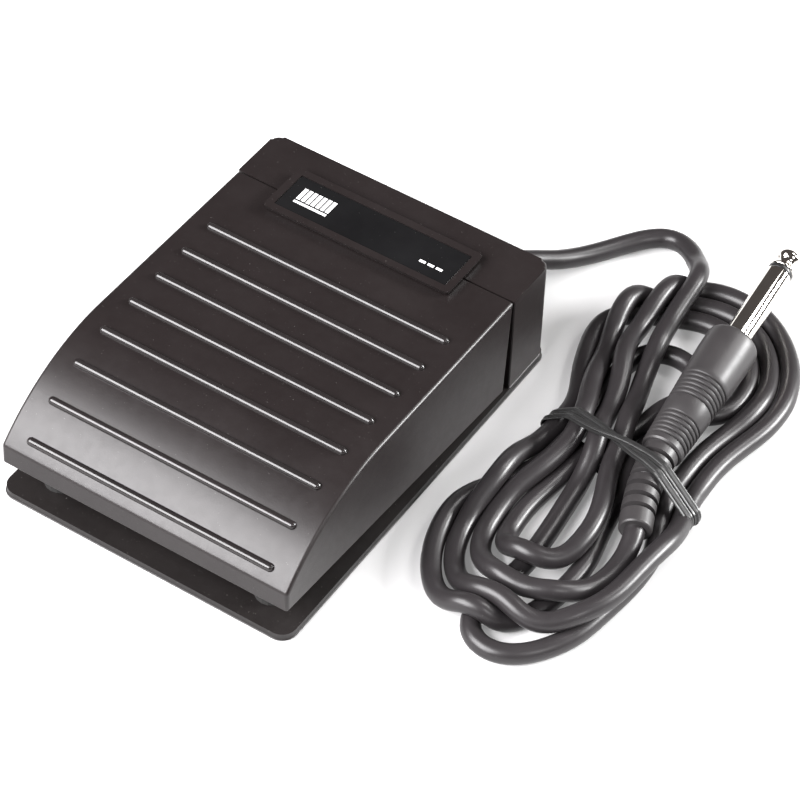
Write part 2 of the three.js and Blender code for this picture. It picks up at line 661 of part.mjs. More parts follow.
function plugTip() {
  const start = SLEEVE_LENGTH + INSULATOR_LENGTH + 0.1;
  const end = start + TIP_LENGTH;
  const profile = [
    [0, -8], [0.95, -8], [0.95, start], [3.0, start], [2.9, start + 0.8], [1.95, start + 1.8],
    [1.9, start + 2.3], [2.6, start + 3.2], [2.75, start + 4.2], [2.3, end - 1], [1.3, end - 0.2], [0, end],
  ];
  return turned(profile, 20, PLUG_FACE, PLUG_DIRECTION);
}

// ---------------------------------------------------------------- assembly
addPiece('base_plate', basePlate(), BASE_PLASTIC);
addPiece('grip_sheet', gripSheet(), RUBBER);
addPiece('rear_housing', rearHousing(), BLACK_PLASTIC);
addPiece('treadle', treadle(), BLACK_PLASTIC);
addPiece('nameplate_frame', nameplateFrame(), BLACK_PLASTIC);
addPiece('nameplate_label', nameplateLabel(), LABEL_FILM);
for (const [side, word] of [[-1, 'left'], [1, 'right']]) {
  addPiece(`hinge_pin_${word}`, hingePin(side), STEEL);
  addPiece(`bumper_${word}`, bumper(side), RUBBER);
  addPiece(`housing_screw_${word}`, housingScrew(side), STEEL);
  addPiece(`clamp_screw_${word}`, clampScrew(side), STEEL);
}
addPiece('return_spring', returnSpring(), SPRING_STEEL);
addPiece('stop_bracket', stopBracket(), STEEL);
addPiece('stop_rivet', stopRivet(), STEEL);
addPiece('stop_pad', stopPad(), FELT);
addPiece('switch_body', switchBody(), SWITCH_PLASTIC);
addPiece('switch_lever', switchLever(), STEEL);
addPiece('switch_plunger', switchPlunger(), BUTTON_PLASTIC);
addPiece('switch_screw_front', switchScrew(5.5), STEEL);
addPiece('switch_screw_rear', switchScrew(14.5), STEEL);
addPiece('switch_terminal_common', switchTerminal(17.5), BRASS);
addPiece('switch_terminal_closed', switchTerminal(9.5), BRASS);
addPiece('switch_terminal_open', switchTerminal(2.5), BRASS);
addPiece('cable_clamp', cableClamp(), BLACK_PLASTIC);
addPiece('cable_gland', cableGland(), RUBBER);
addPiece('wire_signal', wire(SIGNAL_ROUTE), RED_WIRE);
addPiece('wire_shield', wire(SHIELD_ROUTE), WHITE_WIRE);
addPiece('cable_lead', cableLead(), CORD_VINYL);
addPiece('cable_hank', cableHank(), CORD_VINYL);
addPiece('twist_tie', twistTie(), RUBBER);
addPiece('plug_body', plugBody(), PLUG_PLASTIC);
addPiece('plug_sleeve', plugSleeve(), NICKEL);
addPiece('plug_insulator', plugInsulator(), RUBBER);
addPiece('plug_tip', plugTip(), NICKEL);

export default object;
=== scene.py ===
# A sustain pedal: the fine shapes and finishes of its pieces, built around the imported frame.
import math

import bmesh
import bpy
import numpy as np
from mathutils import Matrix, Vector


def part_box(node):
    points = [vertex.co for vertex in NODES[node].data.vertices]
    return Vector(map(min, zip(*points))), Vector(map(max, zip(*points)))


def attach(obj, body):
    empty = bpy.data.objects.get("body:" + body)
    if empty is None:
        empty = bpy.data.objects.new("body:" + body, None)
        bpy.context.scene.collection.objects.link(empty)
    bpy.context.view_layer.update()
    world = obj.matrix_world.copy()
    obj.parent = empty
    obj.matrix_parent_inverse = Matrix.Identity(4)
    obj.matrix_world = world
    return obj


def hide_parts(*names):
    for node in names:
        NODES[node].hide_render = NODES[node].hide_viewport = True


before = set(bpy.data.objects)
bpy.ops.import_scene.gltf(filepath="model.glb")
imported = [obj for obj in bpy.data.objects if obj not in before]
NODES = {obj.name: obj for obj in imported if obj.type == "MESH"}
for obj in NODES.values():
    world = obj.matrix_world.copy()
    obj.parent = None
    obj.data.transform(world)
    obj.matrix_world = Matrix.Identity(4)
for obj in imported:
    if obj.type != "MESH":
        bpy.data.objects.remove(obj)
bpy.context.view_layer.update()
MM = 0.001
UP = Vector((0, 0, 1))
ALONG_X = Vector((1, 0, 0))
ALONG_Y = Vector((0, 1, 0))


def limits(node):
    """The lowest and highest corner of a frame node, in millimetres."""
    return [[round(value / MM, 3) for value in corner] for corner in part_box(node)]


# ---------------------------------------------------------------- camera and light
def aim(obj, target):
    obj.rotation_euler = (Vector(target) - obj.location).to_track_quat("-Z", "Y").to_euler()


CAMERA_PLACE = (0.28613, -0.43531, 0.55381)
CAMERA_ANGLES = (30.382, 46.281, 3.541)
CAMERA_LENS = 151.775


def make_camera():
    azimuth, elevation, roll = (math.radians(angle) for angle in CAMERA_ANGLES)
    back = Vector((
        math.sin(azimuth) * math.cos(elevation),
        -math.cos(azimuth) * math.cos(elevation),
        math.sin(elevation),
    ))
    level = Vector((math.cos(azimuth), math.sin(azimuth), 0))
    over = back.cross(level)
    right = math.cos(roll) * level + math.sin(roll) * over
    top = -math.sin(roll) * level + math.cos(roll) * over
    data = bpy.data.cameras.new("camera")
    data.sensor_width = 36
    data.lens = CAMERA_LENS
    data.clip_start = 0.05
    data.clip_end = 20
    camera = bpy.data.objects.new("camera", data)
    bpy.context.scene.collection.objects.link(camera)
    rotation = Matrix((right, top, back)).transposed()
    camera.matrix_world = Matrix.Translation(CAMERA_PLACE) @ rotation.to_4x4()
    bpy.context.scene.camera = camera


def area_light(name, place, target, size, watts, colour=(1, 1, 1)):
    data = bpy.data.lights.new(name, "AREA")
    data.shape = "RECTANGLE"
    data.size, data.size_y = size
    data.energy = watts
    data.color = colour
    lamp = bpy.data.objects.new(name, data)
    bpy.context.scene.collection.objects.link(lamp)
    lamp.location = place
    aim(lamp, target)


def make_lights():
    world = bpy.data.worlds.new("studio")
    bpy.context.scene.world = world
    world.use_nodes = True
    background = world.node_tree.nodes["Background"]
    background.inputs["Color"].default_value = (1, 0.9, 0.88, 1)
    background.inputs["Strength"].default_value = 0.1
    area_light("front", (-0.42, -0.8, 0.73), (0.0, -0.03, 0.02), (1.1, 0.76), 64, (1, 0.985, 1))
    area_light("rear", (0.42, 0.66, 0.8), (0.15, 0.05, 0.01), (0.3, 0.3), 5, (1, 0.985, 0.98))
    area_light("right_rear", (0.86, 0.72, 0.42), (0.04, 0.0, 0.02), (0.5, 0.22), 34)
    area_light("right", (0.9, -0.3, 0.8), (0.07, 0.02, 0.0), (0.25, 0.4), 4)
    bpy.context.scene.view_settings.view_transform = "Standard"


def make_floor():
    mesh = bpy.data.meshes.new("floor")
    bm = bmesh.new()
    bmesh.ops.create_grid(bm, x_segments=2, y_segments=2, size=3)
    bm.to_mesh(mesh)
    bm.free()
    floor = bpy.data.objects.new("floor", mesh)
    bpy.context.scene.collection.objects.link(floor)
    floor.location.z = -0.00005
    material = bpy.data.materials.new("pale_floor")
    material.use_nodes = True
    shader = material.node_tree.nodes["Principled BSDF"]
    shader.inputs["Base Color"].default_value = (0.5, 0.5, 0.5, 1)
    shader.inputs["Roughness"].default_value = 0.85
    shader.inputs["Emission Color"].default_value = (1, 1, 1, 1)
    shader.inputs["Emission Strength"].default_value = 0.2
    mesh.materials.append(material)


make_camera()
make_lights()
make_floor()


# ---------------------------------------------------------------- materials
class Finish:
    """A node material round one Principled shader, with a few layers of procedural detail."""

    def __init__(self, name, roughness, metallic=0.0):
        self.material = bpy.data.materials.new(name)
        self.material.use_nodes = True
        self.tree = self.material.node_tree
        self.shader = self.tree.nodes["Principled BSDF"]
        self.shader.inputs["Roughness"].default_value = roughness
        self.shader.inputs["Metallic"].default_value = metallic
        self.place = self.tree.nodes.new("ShaderNodeTexCoord").outputs["Object"]
        self.normal = None

    def node(self, kind, **settings):
        made = self.tree.nodes.new(kind)
        for key, value in settings.items():
            setattr(made, key, value)
        return made

    def link(self, source, target):
        self.tree.links.new(source, target)

    def noise(self, per_metre, detail=3, roughness=0.5, stretch=None, seed=0):
        made = self.node("ShaderNodeTexNoise", noise_dimensions="3D")
        made.inputs["Scale"].default_value = per_metre
        made.inputs["Detail"].default_value = detail
        made.inputs["Roughness"].default_value = roughness
        mapping = self.node("ShaderNodeMapping")
        mapping.inputs["Location"].default_value = (seed, seed * 0.7, seed * 1.3)
        if stretch:
            mapping.inputs["Scale"].default_value = stretch
        self.link(self.place, mapping.inputs["Vector"])
        self.link(mapping.outputs["Vector"], made.inputs["Vector"])
        return made.outputs["Fac"]

    def ramp(self, source, stops):
        made = self.node("ShaderNodeValToRGB")
        elements = made.color_ramp.elements
        while len(elements) < len(stops):
            elements.new(0.5)
        for element, (position, colour) in zip(elements, stops):
            element.position = position
            element.color = (*colour, 1)
        self.link(source, made.inputs["Fac"])
        return made.outputs["Color"]

    def spread(self, source, low, high):
        made = self.node("ShaderNodeMapRange")
        made.inputs["To Min"].default_value = low
        made.inputs["To Max"].default_value = high
        self.link(source, made.inputs["Value"])
        return made.outputs["Result"]

    def mix(self, factor, first, second):
        made = self.node("ShaderNodeMix", data_type="RGBA")
        self.link(factor, made.inputs["Factor"])
        for socket, value in ((made.inputs[6], first), (made.inputs[7], second)):
            if isinstance(value, tuple):
                socket.default_value = (*value, 1)
            else:
                self.link(value, socket)
        return made.outputs[2]

    def bump(self, source, strength, distance_mm):
        made = self.node("ShaderNodeBump")
        made.inputs["Strength"].default_value = strength
        made.inputs["Distance"].default_value = distance_mm * MM
        self.link(source, made.inputs["Height"])
        if self.normal:
            self.link(self.normal, made.inputs["Normal"])
        self.normal = made.outputs["Normal"]
        self.link(self.normal, self.shader.inputs["Normal"])

    def colour(self, source):
        self.link(source, self.shader.inputs["Base Color"])

    def rough(self, source):
        self.link(source, self.shader.inputs["Roughness"])


DUST_COLOUR = (0.42, 0.4, 0.38)
BLACK = (0, 0, 0)
WHITE = (1, 1, 1)


def moulded(name, dark, light, roughness, grain=0.25, grain_scale=5200, dust=0.0, gloss=0.4, seed=0):
    """Moulded plastic or rubber: a fine grain, a slow drift of shade, and a little dust."""
    finish = Finish(name, roughness)
    drift = finish.noise(55, 4, 0.6, seed=seed)
    shade = finish.ramp(drift, [(0.3, dark), (0.7, light)])
    if dust:
        grains = finish.noise(2300, 2, 0.7, seed=seed + 3)
        specks = finish.ramp(grains, [(0.735, BLACK), (0.76, WHITE)])
        patch = finish.noise(140, 3, 0.6, seed=seed + 5)
        amount = finish.node("ShaderNodeMath", operation="MULTIPLY")
        finish.link(specks, amount.inputs[0])
        finish.link(finish.spread(patch, 0, dust), amount.inputs[1])
        shade = finish.mix(amount.outputs[0], shade, DUST_COLOUR)
    finish.colour(shade)
    wear = finish.noise(420, 4, 0.65, seed=seed + 1)
    finish.rough(finish.spread(wear, roughness - 0.06, roughness + 0.08))
    finish.bump(finish.noise(grain_scale, 2, 0.55, seed=seed + 2), grain, 0.03)
    finish.shader.inputs["Specular IOR Level"].default_value = gloss
    return finish


def metal(name, dark, light, roughness, stretch=(1, 1, 1), scratch=0.08, seed=0):
    """Plated or drawn metal: fine lines along one direction and faint tarnish."""
    finish = Finish(name, roughness, 1.0)
    finish.colour(finish.ramp(finish.noise(160, 4, 0.6, seed=seed), [(0.3, dark), (0.75, light)]))
    lines = finish.noise(2600, 3, 0.6, stretch=stretch, seed=seed + 1)
    finish.rough(finish.spread(lines, roughness * 0.7, roughness * 1.5))
    finish.bump(lines, scratch, 0.01)
    return finish


MOULDED = {
    "black_plastic": dict(
        dark=(0.0078, 0.0058, 0.0058), light=(0.0105, 0.0082, 0.0082),
        roughness=0.35, grain=0.45, grain_scale=4200, dust=0.45, gloss=0.33,
    ),
    "smooth_plastic": dict(
        dark=(0.0105, 0.009, 0.009), light=(0.014, 0.012, 0.012),
        roughness=0.19, grain=0.06, grain_scale=2600, seed=21,
    ),
    "base_plastic": dict(
        dark=(0.006, 0.0047, 0.0045), light=(0.009, 0.0073, 0.007),
        roughness=0.46, grain=0.2, dust=1.0, seed=2,
    ),
    "rubber": dict(
        dark=(0.012, 0.012, 0.012), light=(0.022, 0.021, 0.02),
        roughness=0.8, grain=0.6, grain_scale=1800, seed=4,
    ),
    "gland_rubber": dict(
        dark=(0.014, 0.013, 0.013), light=(0.02, 0.019, 0.019),
        roughness=0.6, grain=0.4, grain_scale=3000, seed=5,
    ),
    "label_film": dict(
        dark=(0.0035, 0.0035, 0.0038), light=(0.006, 0.006, 0.0064),
        roughness=0.12, grain=0.03, grain_scale=900, dust=0.3, seed=6,
    ),
    "label_ink": dict(
        dark=(0.5, 0.5, 0.5), light=(0.66, 0.66, 0.66),
        roughness=0.5, grain=0.2, grain_scale=3000, seed=20,
    ),
    "cord_vinyl": dict(
        dark=(0.0145, 0.013, 0.0137), light=(0.02, 0.018, 0.019),
        roughness=0.34, grain=0.16, grain_scale=1500, dust=0.35, gloss=0.34, seed=7,
    ),
    "tie_vinyl": dict(
        dark=(0.013, 0.013, 0.013), light=(0.02, 0.02, 0.02),
        roughness=0.3, grain=0.15, grain_scale=1600, seed=8,
    ),
    "plug_plastic": dict(
        dark=(0.019, 0.0175, 0.018), light=(0.026, 0.024, 0.0245),
        roughness=0.42, grain=0.35, grain_scale=4200, dust=0.3, seed=9,
    ),
    "insulator_plastic": dict(
        dark=(0.008, 0.008, 0.008), light=(0.014, 0.014, 0.014),
        roughness=0.35, grain=0.1, grain_scale=3000, seed=10,
    ),
    "switch_plastic": dict(
        dark=(0.014, 0.016, 0.019), light=(0.02, 0.023, 0.027),
        roughness=0.45, grain=0.3, grain_scale=4000, seed=11,
    ),
    "button_plastic": dict(
        dark=(0.42, 0.02, 0.012), light=(0.52, 0.03, 0.018),
        roughness=0.35, grain=0.2, grain_scale=4000, seed=12,
    ),
    "red_wire": dict(
        dark=(0.38, 0.016, 0.01), light=(0.5, 0.025, 0.016),
        roughness=0.4, grain=0.2, grain_scale=3000, seed=13,
    ),
    "white_wire": dict(
        dark=(0.62, 0.6, 0.55), light=(0.74, 0.72, 0.67),
        roughness=0.4, grain=0.2, grain_scale=3000, seed=14,
    ),
    "felt": dict(
        dark=(0.09, 0.09, 0.085), light=(0.2, 0.2, 0.19),
        roughness=0.95, grain=1.0, grain_scale=2200, seed=15,
    ),
}
METALS = {
    "steel": dict(
        dark=(0.42, 0.42, 0.43), light=(0.62, 0.62, 0.63),
        roughness=0.3, stretch=(1, 14, 14), scratch=0.15, seed=16,
    ),
    "spring_steel": dict(
        dark=(0.3, 0.31, 0.33), light=(0.5, 0.51, 0.54),
        roughness=0.28, seed=17,
    ),
    "brass": dict(
        dark=(0.55, 0.41, 0.17), light=(0.75, 0.6, 0.3),
        roughness=0.25, seed=18,
    ),
    "nickel": dict(
        dark=(0.66, 0.63, 0.58), light=(0.8, 0.78, 0.74),
        roughness=0.07, stretch=(1, 9, 9), scratch=0.03, seed=19,
    ),
}
LOOKS = {name: moulded(name, **settings) for name, settings in MOULDED.items()}
LOOKS.update({name: metal(name, **settings) for name, settings in METALS.items()})


# ---------------------------------------------------------------- mesh building, in millimetres
def new_object(name, bm):
    mesh = bpy.data.meshes.new(name)
    bmesh.ops.remove_doubles(bm, verts=bm.verts, dist=1e-5)
    bmesh.ops.recalc_face_normals(bm, faces=bm.faces)
    bmesh.ops.scale(bm, vec=(MM, MM, MM), verts=bm.verts)
    bm.to_mesh(mesh)
    bm.free()
    obj = bpy.data.objects.new(name, mesh)
    bpy.context.scene.collection.objects.link(obj)
    return obj


def settle(obj):
    """Turns the object's modifiers into its mesh."""
    graph = bpy.context.evaluated_depsgraph_get()
    mesh = bpy.data.meshes.new_from_object(obj.evaluated_get(graph))
    obj.modifiers.clear()
    obj.data = mesh


def combine(obj, tools, operation):
    for tool in tools:
        modifier = obj.modifiers.new("shape", "BOOLEAN")
        modifier.object = tool
        modifier.operation = operation
        modifier.solver = "EXACT"
    settle(obj)
    for tool in tools:
        bpy.data.objects.remove(tool)
    return obj


def cut(obj, *tools):
    return combine(obj, tools, "DIFFERENCE")


def join(obj, *tools):
    return combine(obj, tools, "UNION")


BROAD_AREA = 20 * MM * MM
BROAD_EDGE = 3 * MM
RIM_WIDTH = 0.06 * MM


def keep_flats_flat(mesh):
    """Gives each broad flat face a narrow rim, so that smooth shading bends only the rim."""
    bm = bmesh.new()
    bm.from_mesh(mesh)
    broad = [
        face for face in bm.faces
        if face.calc_area() > BROAD_AREA
        and (len(face.verts) > 4 or min(edge.calc_length() for edge in face.edges) > BROAD_EDGE)
    ]
    bmesh.ops.inset_individual(bm, faces=broad, thickness=RIM_WIDTH, use_even_offset=True)
    bm.to_mesh(mesh)
    bm.free()


def piece(obj, look, body="pedal", replaces=(), sharp_degrees=35):
    """Gives a finished mesh its shading, finish, body and the CAD nodes it stands for."""
    mesh = obj.data
    mesh.materials.clear()
    mesh.materials.append(LOOKS[look].material)
    keep_flats_flat(mesh)
    mesh.polygons.foreach_set("use_smooth", [True] * len(mesh.polygons))
    mesh.set_sharp_from_angle(angle=math.radians(sharp_degrees))
    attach(obj, body)
    if replaces:
        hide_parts(*replaces)
    return obj


def fillet(points, radii, steps=5):
    """A closed outline with its corners rounded: radii by corner number."""
    out = []
    count = len(points)
    for i, corner in enumerate(points):
        radius = radii.get(i, 0)
        here = Vector(corner)
        if not radius:
            out.append(tuple(here))
            continue
        before = (Vector(points[i - 1]) - here).normalized()
        after = (Vector(points[(i + 1) % count]) - here).normalized()
        half = before.angle(after) / 2
        reach = radius / math.tan(half)
        centre = here + (before + after).normalized() * (radius / math.sin(half))
        start = here + before * reach - centre
        sweep = math.pi - 2 * half
        turn = 1 if before.x * after.y - before.y * after.x < 0 else -1
        for k in range(steps + 1):
            angle = turn * sweep * k / steps
            rotated = Vector((
                start.x * math.cos(angle) - start.y * math.sin(angle),
                start.x * math.sin(angle) + start.y * math.cos(angle),
            ))
            out.append(tuple(centre + rotated))
    return out


def prism(name, outline, low, high, place, bevels=()):
    """An outline drawn out between low and high. place(u, v, w) gives a point; bevels are
    (radius, test) pairs, where test(first, second) picks the edges to round."""
    bm = bmesh.new()
    ends = [[bm.verts.new(place(u, v, w)) for u, v in outline] for w in (low, high)]
    bm.faces.new(ends[0])
    bm.faces.new(ends[1])
    for i in range(len(outline)):
        k = (i + 1) % len(outline)
        bm.faces.new((ends[0][i], ends[0][k], ends[1][k], ends[1][i]))
    for radius, test in bevels:
        edges = [e for e in bm.edges if test(e.verts[0].co, e.verts[1].co)]
        bmesh.ops.bevel(
            bm, geom=edges, offset=radius, segments=4, profile=0.5, affect="EDGES",
            clamp_overlap=False, offset_type="OFFSET",
        )
    return new_object(name, bm)


def flat(u, v, w):
    return (u, v, w)


def box(name, x, y, z):
    return prism(name, [(x[0], y[0]), (x[1], y[0]), (x[1], y[1]), (x[0], y[1])], z[0], z[1], flat)


def ring_faces(bm, rings, closed_ends=True):
    for first, second in zip(rings[:-1], rings[1:]):
        count = len(first)
        for i in range(count):
            k = (i + 1) % count
            bm.faces.new((first[i], first[k], second[k], second[i]))
    if closed_ends:
        bm.faces.new(rings[0])
        bm.faces.new(rings[-1])


def turned(name, profile, origin, direction, sides=64):
    """A solid of revolution: (radius, distance) points spun about an axis from origin."""
    axis = Vector(direction).normalized()
    side = axis.orthogonal().normalized()
    other = axis.cross(side)
    bm = bmesh.new()
    rings = []
    for radius, along in profile:
        centre = Vector(origin) + axis * along
        if radius < 1e-6:
            rings.append([bm.verts.new(centre)])
            continue
        rings.append([
            bm.verts.new(centre + radius * (math.cos(a) * side + math.sin(a) * other))
            for a in (2 * math.pi * i / sides for i in range(sides))
        ])
    closed = profile[0] == profile[-1]
    if closed:
        for vert in rings.pop():
            bm.verts.remove(vert)
        rings.append(rings[0])
    for first, second in zip(rings[:-1], rings[1:]):
        if len(first) == 1 and len(second) == 1:
            continue
        for i in range(sides):
            k = (i + 1) % sides
            corners = [first[i % len(first)], first[k % len(first)]]
            corners += [second[k % len(second)], second[i % len(second)]]
            bm.faces.new(list(dict.fromkeys(corners)))
    for ring in (rings[0], rings[-1]):
        if not closed and len(ring) > 1:
            bm.faces.new(ring)
    return new_object(name, bm)


def rod(name, radius, origin, direction, length, sides=40):
    return turned(name, [(0, 0), (radius, 0), (radius, length), (0, length)], origin, direction, sides)


# ---------------------------------------------------------------- smooth lines
def spline(points, step):
    """Points about step apart on a centripetal Catmull-Rom curve through the given ones."""
    given = np.asarray(points, float)
    ends = np.vstack([2 * given[0] - given[1], given, 2 * given[-1] - given[-2]])
    knots = np.concatenate([[0], np.cumsum(np.sqrt(np.linalg.norm(np.diff(ends, axis=0), axis=1)))])
    line = []
    for i in range(1, len(ends) - 2):
        p = ends[i - 1 : i + 3]
        t = knots[i - 1 : i + 3]
        for u in np.linspace(t[1], t[2], 12, endpoint=False):
            a = [((t[k + 1] - u) * p[k] + (u - t[k]) * p[k + 1]) / (t[k + 1] - t[k]) for k in range(3)]
            b = [((t[k + 2] - u) * a[k] + (u - t[k]) * a[k + 1]) / (t[k + 2] - t[k]) for k in range(2)]
            line.append(((t[2] - u) * b[0] + (u - t[1]) * b[1]) / (t[2] - t[1]))
    line.append(given[-1])
    return respaced(np.array(line), step)


def respaced(line, step):
    along = np.concatenate([[0], np.cumsum(np.linalg.norm(np.diff(line, axis=0), axis=1))])
    at = np.linspace(0, along[-1], max(2, round(along[-1] / step) + 1))
    return np.stack([np.interp(at, along, line[:, k]) for k in range(3)], axis=1)


# ---------------------------------------------------------------- plug
PLUG_FACE = Vector((76.3, 70.5, 11.9))
PLUG_DIRECTION = Vector((-0.055, 0.992, 0.1)).normalized()
PLUG_BODY_LENGTH = 36
SLEEVE_RADIUS = 3.175
SLEEVE_LENGTH = 23.4
RELIEF_ROUTE = [
    [78.2, 36.5, 8.4], [78.9, 30.5, 8.0], [80.2, 24.5, 7.7], [82.2, 18.4, 7.3], [84.7, 12.4, 6.9],
]
RELIEF_RADIUS = 3.9
RELIEF_SWELL = 0.35
RELIEF_STEP = 0.12
RELIEF_PITCH = 3.15
RELIEF_GROOVES = 6
PLUG_SIDES = 72


def tube(name, line, radii, sides):
    """Rings of given radii along a line of points."""
    bm = bmesh.new()
    line = [Vector(p) for p in line]
    side = None
    rings = []
    for i, centre in enumerate(line):
        ahead = (line[min(i + 1, len(line) - 1)] - line[max(i - 1, 0)]).normalized()
        side = (side - ahead * side.dot(ahead)).normalized() if side else ahead.orthogonal().normalized()
        other = ahead.cross(side)
        rings.append([
            bm.verts.new(centre + radii[i] * (math.cos(a) * side + math.sin(a) * other))
            for a in (2 * math.pi * k / sides for k in range(sides))
        ])
    ring_faces(bm, rings)
    return new_object(name, bm)


def grip_radius(s):
    return 6.35 - 1.45 * max(0.0, s - 6) / (PLUG_BODY_LENGTH - 6)


def grip_profile():
    """The moulded grip: (radius, distance back from the face), with two sets of fine grooves."""
    profile = [
        (0, 1.2), (3.35, 1.2), (3.35, 0.15), (3.5, 0), (5.45, 0), (5.9, 0.12), (6.2, 0.45), (6.33, 0.95),
    ]
    profile += [(grip_radius(s), s) for s in (2, 4, 6, 8, 10, 12, 14)]
    depth = 0.42
    for first, count in ((15.2, 6), (27.2, 6)):
        for k in range(count):
            s = first + 1.28 * k
            groove = ((0, 0), (0.08, 0.12), (depth, 0.26), (depth, 0.6), (0.08, 0.74), (0, 0.86))
            for fall, at in groove:
                profile.append((grip_radius(s) - fall, s + at))
    profile += [(grip_radius(s), s) for s in (35.2, 35.6)]
    profile += [(4.6, 36), (0, 36)]
    return profile


def relief_radii(count):
    """The strain relief's radius at each of its rings: a taper with broad grooves and a rounded end."""
    total = count * RELIEF_STEP
    radii = []
    for i in range(count):
        s = i * RELIEF_STEP
        taper = RELIEF_RADIUS + RELIEF_SWELL - 0.5 * s / total
        phase = (s - 2.2) / RELIEF_PITCH
        groove = 0.0
        if 0 < phase < RELIEF_GROOVES:
            inside = abs((phase % 1) * RELIEF_PITCH - 2.65)
            groove = 1.15 * min(1, max(0, (0.62 - inside) / 0.16))
        edge = min(s, total - s)
        round_off = 0.5 * max(0, 1 - edge / 0.6) ** 2 if s > total / 2 else 0
        radii.append(taper - groove - round_off)
    return radii


def make_plug():
    grip = turned("plug_grip", grip_profile(), PLUG_FACE, -PLUG_DIRECTION, PLUG_SIDES)
    relief_line = spline(RELIEF_ROUTE, RELIEF_STEP)
    relief = tube("relief", relief_line, relief_radii(len(relief_line)), 48)
    join(grip, relief)
    piece(grip, "plug_plastic", replaces=["plug_body"])
    corners = [(1.75, -8), (SLEEVE_RADIUS, -8), (SLEEVE_RADIUS, SLEEVE_LENGTH), (1.75, SLEEVE_LENGTH)]
    tube_wall = fillet(corners, {2: 0.25}, 4)
    sleeve = turned("plug_sleeve_fine", tube_wall + tube_wall[:1], PLUG_FACE, PLUG_DIRECTION, PLUG_SIDES)
    piece(sleeve, "nickel", replaces=["plug_sleeve"])
    ring = [(1.2, 23.45), (3.05, 23.45), (3.12, 23.55), (3.12, 24.5), (3.05, 24.62), (1.2, 24.62)]
    insulator = turned("plug_insulator_fine", ring + ring[:1], PLUG_FACE, PLUG_DIRECTION, PLUG_SIDES)
    piece(insulator, "insulator_plastic", replaces=["plug_insulator"])
    tip_profile = [
        (0, -7.5), (0.95, -7.5), (0.95, 24.68), (2.95, 24.68), (3.1, 24.8), (3.12, 25.1), (2.75, 25.75),
        (2.15, 26.35), (1.85, 26.9), (1.9, 27.35), (2.25, 27.85), (2.62, 28.3), (2.8, 28.8), (2.78, 29.3),
        (2.55, 29.85), (2.1, 30.35), (1.5, 30.75), (0.8, 31.0), (0, 31.08),
    ]
    tip = turned("plug_tip_fine", tip_profile, PLUG_FACE, PLUG_DIRECTION, PLUG_SIDES)
    piece(tip, "nickel", replaces=["plug_tip"], sharp_degrees=60)


make_plug()

# ---------------------------------------------------------------- cord
CORD_DIAMETER = 4.7
CORD_RADIUS = CORD_DIAMETER / 2
EXIT_X = 19.5
EXIT_Z = 9.6
CLAMP_DROP = 0.9
GLAND_END_Y = limits("cable_gland")[1][1]
TIE_CENTRE = (70.8, 29.6)
TIE_TURN = -0.2
TIE_THICKNESS = 0.7

# The lead from its clamp to where it joins the tied cord.
LEAD_ROUTE = [
    [EXIT_X, 39.8, EXIT_Z - CLAMP_DROP], [EXIT_X, 42.4, EXIT_Z - CLAMP_DROP],
    [EXIT_X, 45.2, EXIT_Z - CLAMP_DROP + 0.4], [EXIT_X, 48, EXIT_Z], [EXIT_X, 50, EXIT_Z],
    [EXIT_X, 56, EXIT_Z], [EXIT_X, GLAND_END_Y, EXIT_Z],
    [19.7, 65.2, 9.3], [21.0, 69.0, 8.3], [23.5, 73.0, 6.7], [26.5, 77.4, 5.0],
    [29.5, 82.8, 3.5], [32.5, 88.3, 2.7], [35.6, 93.7, 2.4], [38.5, 97.7, 2.4], [42.0, 100.6, 2.5],
    [46.0, 101.0, 2.9], [50.0, 98.7, 3.8], [52.8, 94.6, 4.8], [54.4, 91.6, 5.5], [55.0, 90.0, 6.0],
]


def at_tie(x, z):
    """A place in the bundle where the tie holds it."""
    return [x, TIE_CENTRE[1] + TIE_TURN * (x - TIE_CENTRE[0]), z]


# Where the cord passes on each turn of the hank, from one place in the tie to the next. Far turns
# lie beyond the tie and near turns lie on this side of it; a low z is on the floor, a high one on
# another turn.
LAST_OF_LEAD = [
    [55.9, 87.2, 6.7], [57.4, 80.3, 8.4], [58.6, 73.2, 9.2], [60.0, 66.6, 8.8], [61.1, 60.5, 8.2],
    [62.5, 54.0, 7.8], [64.5, 47.2, 7.9], [66.6, 40.8, 8.8], at_tie(69.6, 9.8),
]
NEAR_INNER = [
    [72.3, 23.0, 8.0], [74.4, 17.8, 7.4], [76.2, 12.2, 7.1], [77.0, 6.0, 7.1], [76.4, -0.4, 7.1],
    [74.0, -4.8, 7.1], [70.0, -7.6, 7.1], [65.4, -7.0, 5.6], [61.4, -4.0, 3.6], [58.9, 0.6, 2.6],
    [58.6, 6.8, 2.4], [59.2, 12.6, 2.4], [60.8, 18.6, 2.4], [62.6, 24.6, 2.8], at_tie(64.2, 3.1),
]
FAR_INNER = [
    [66.6, 38.0, 2.4], [70.6, 46.0, 2.4], [73.4, 53.6, 2.4], [73.6, 60.4, 2.4], [70.2, 66.0, 2.4],
    [64.4, 67.9, 2.4], [58.8, 66.0, 2.4], [55.6, 61.0, 2.4], [55.4, 54.0, 2.4], [56.4, 46.0, 2.4],
    [57.4, 38.6, 2.6], at_tie(57.7, 3.1),
]
NEAR_OUTER = [
    [56.0, 22.4, 2.6], [53.4, 13.6, 2.4], [50.4, 5.0, 2.4], [48.9, -2.6, 2.4], [48.9, -9.8, 2.4],
    [50.8, -16.4, 2.6], [55.0, -22.2, 3.4], [60.8, -26.0, 5.2], [65.8, -27.2, 6.8], [70.4, -25.4, 5.8],
    [74.6, -20.2, 3.6], [78.2, -13.0, 2.4], [79.6, -5.6, 2.4], [78.0, 2.6, 2.4], [76.4, 11.4, 2.4],
    [75.2, 20.6, 2.6], at_tie(74.4, 3.1),
]
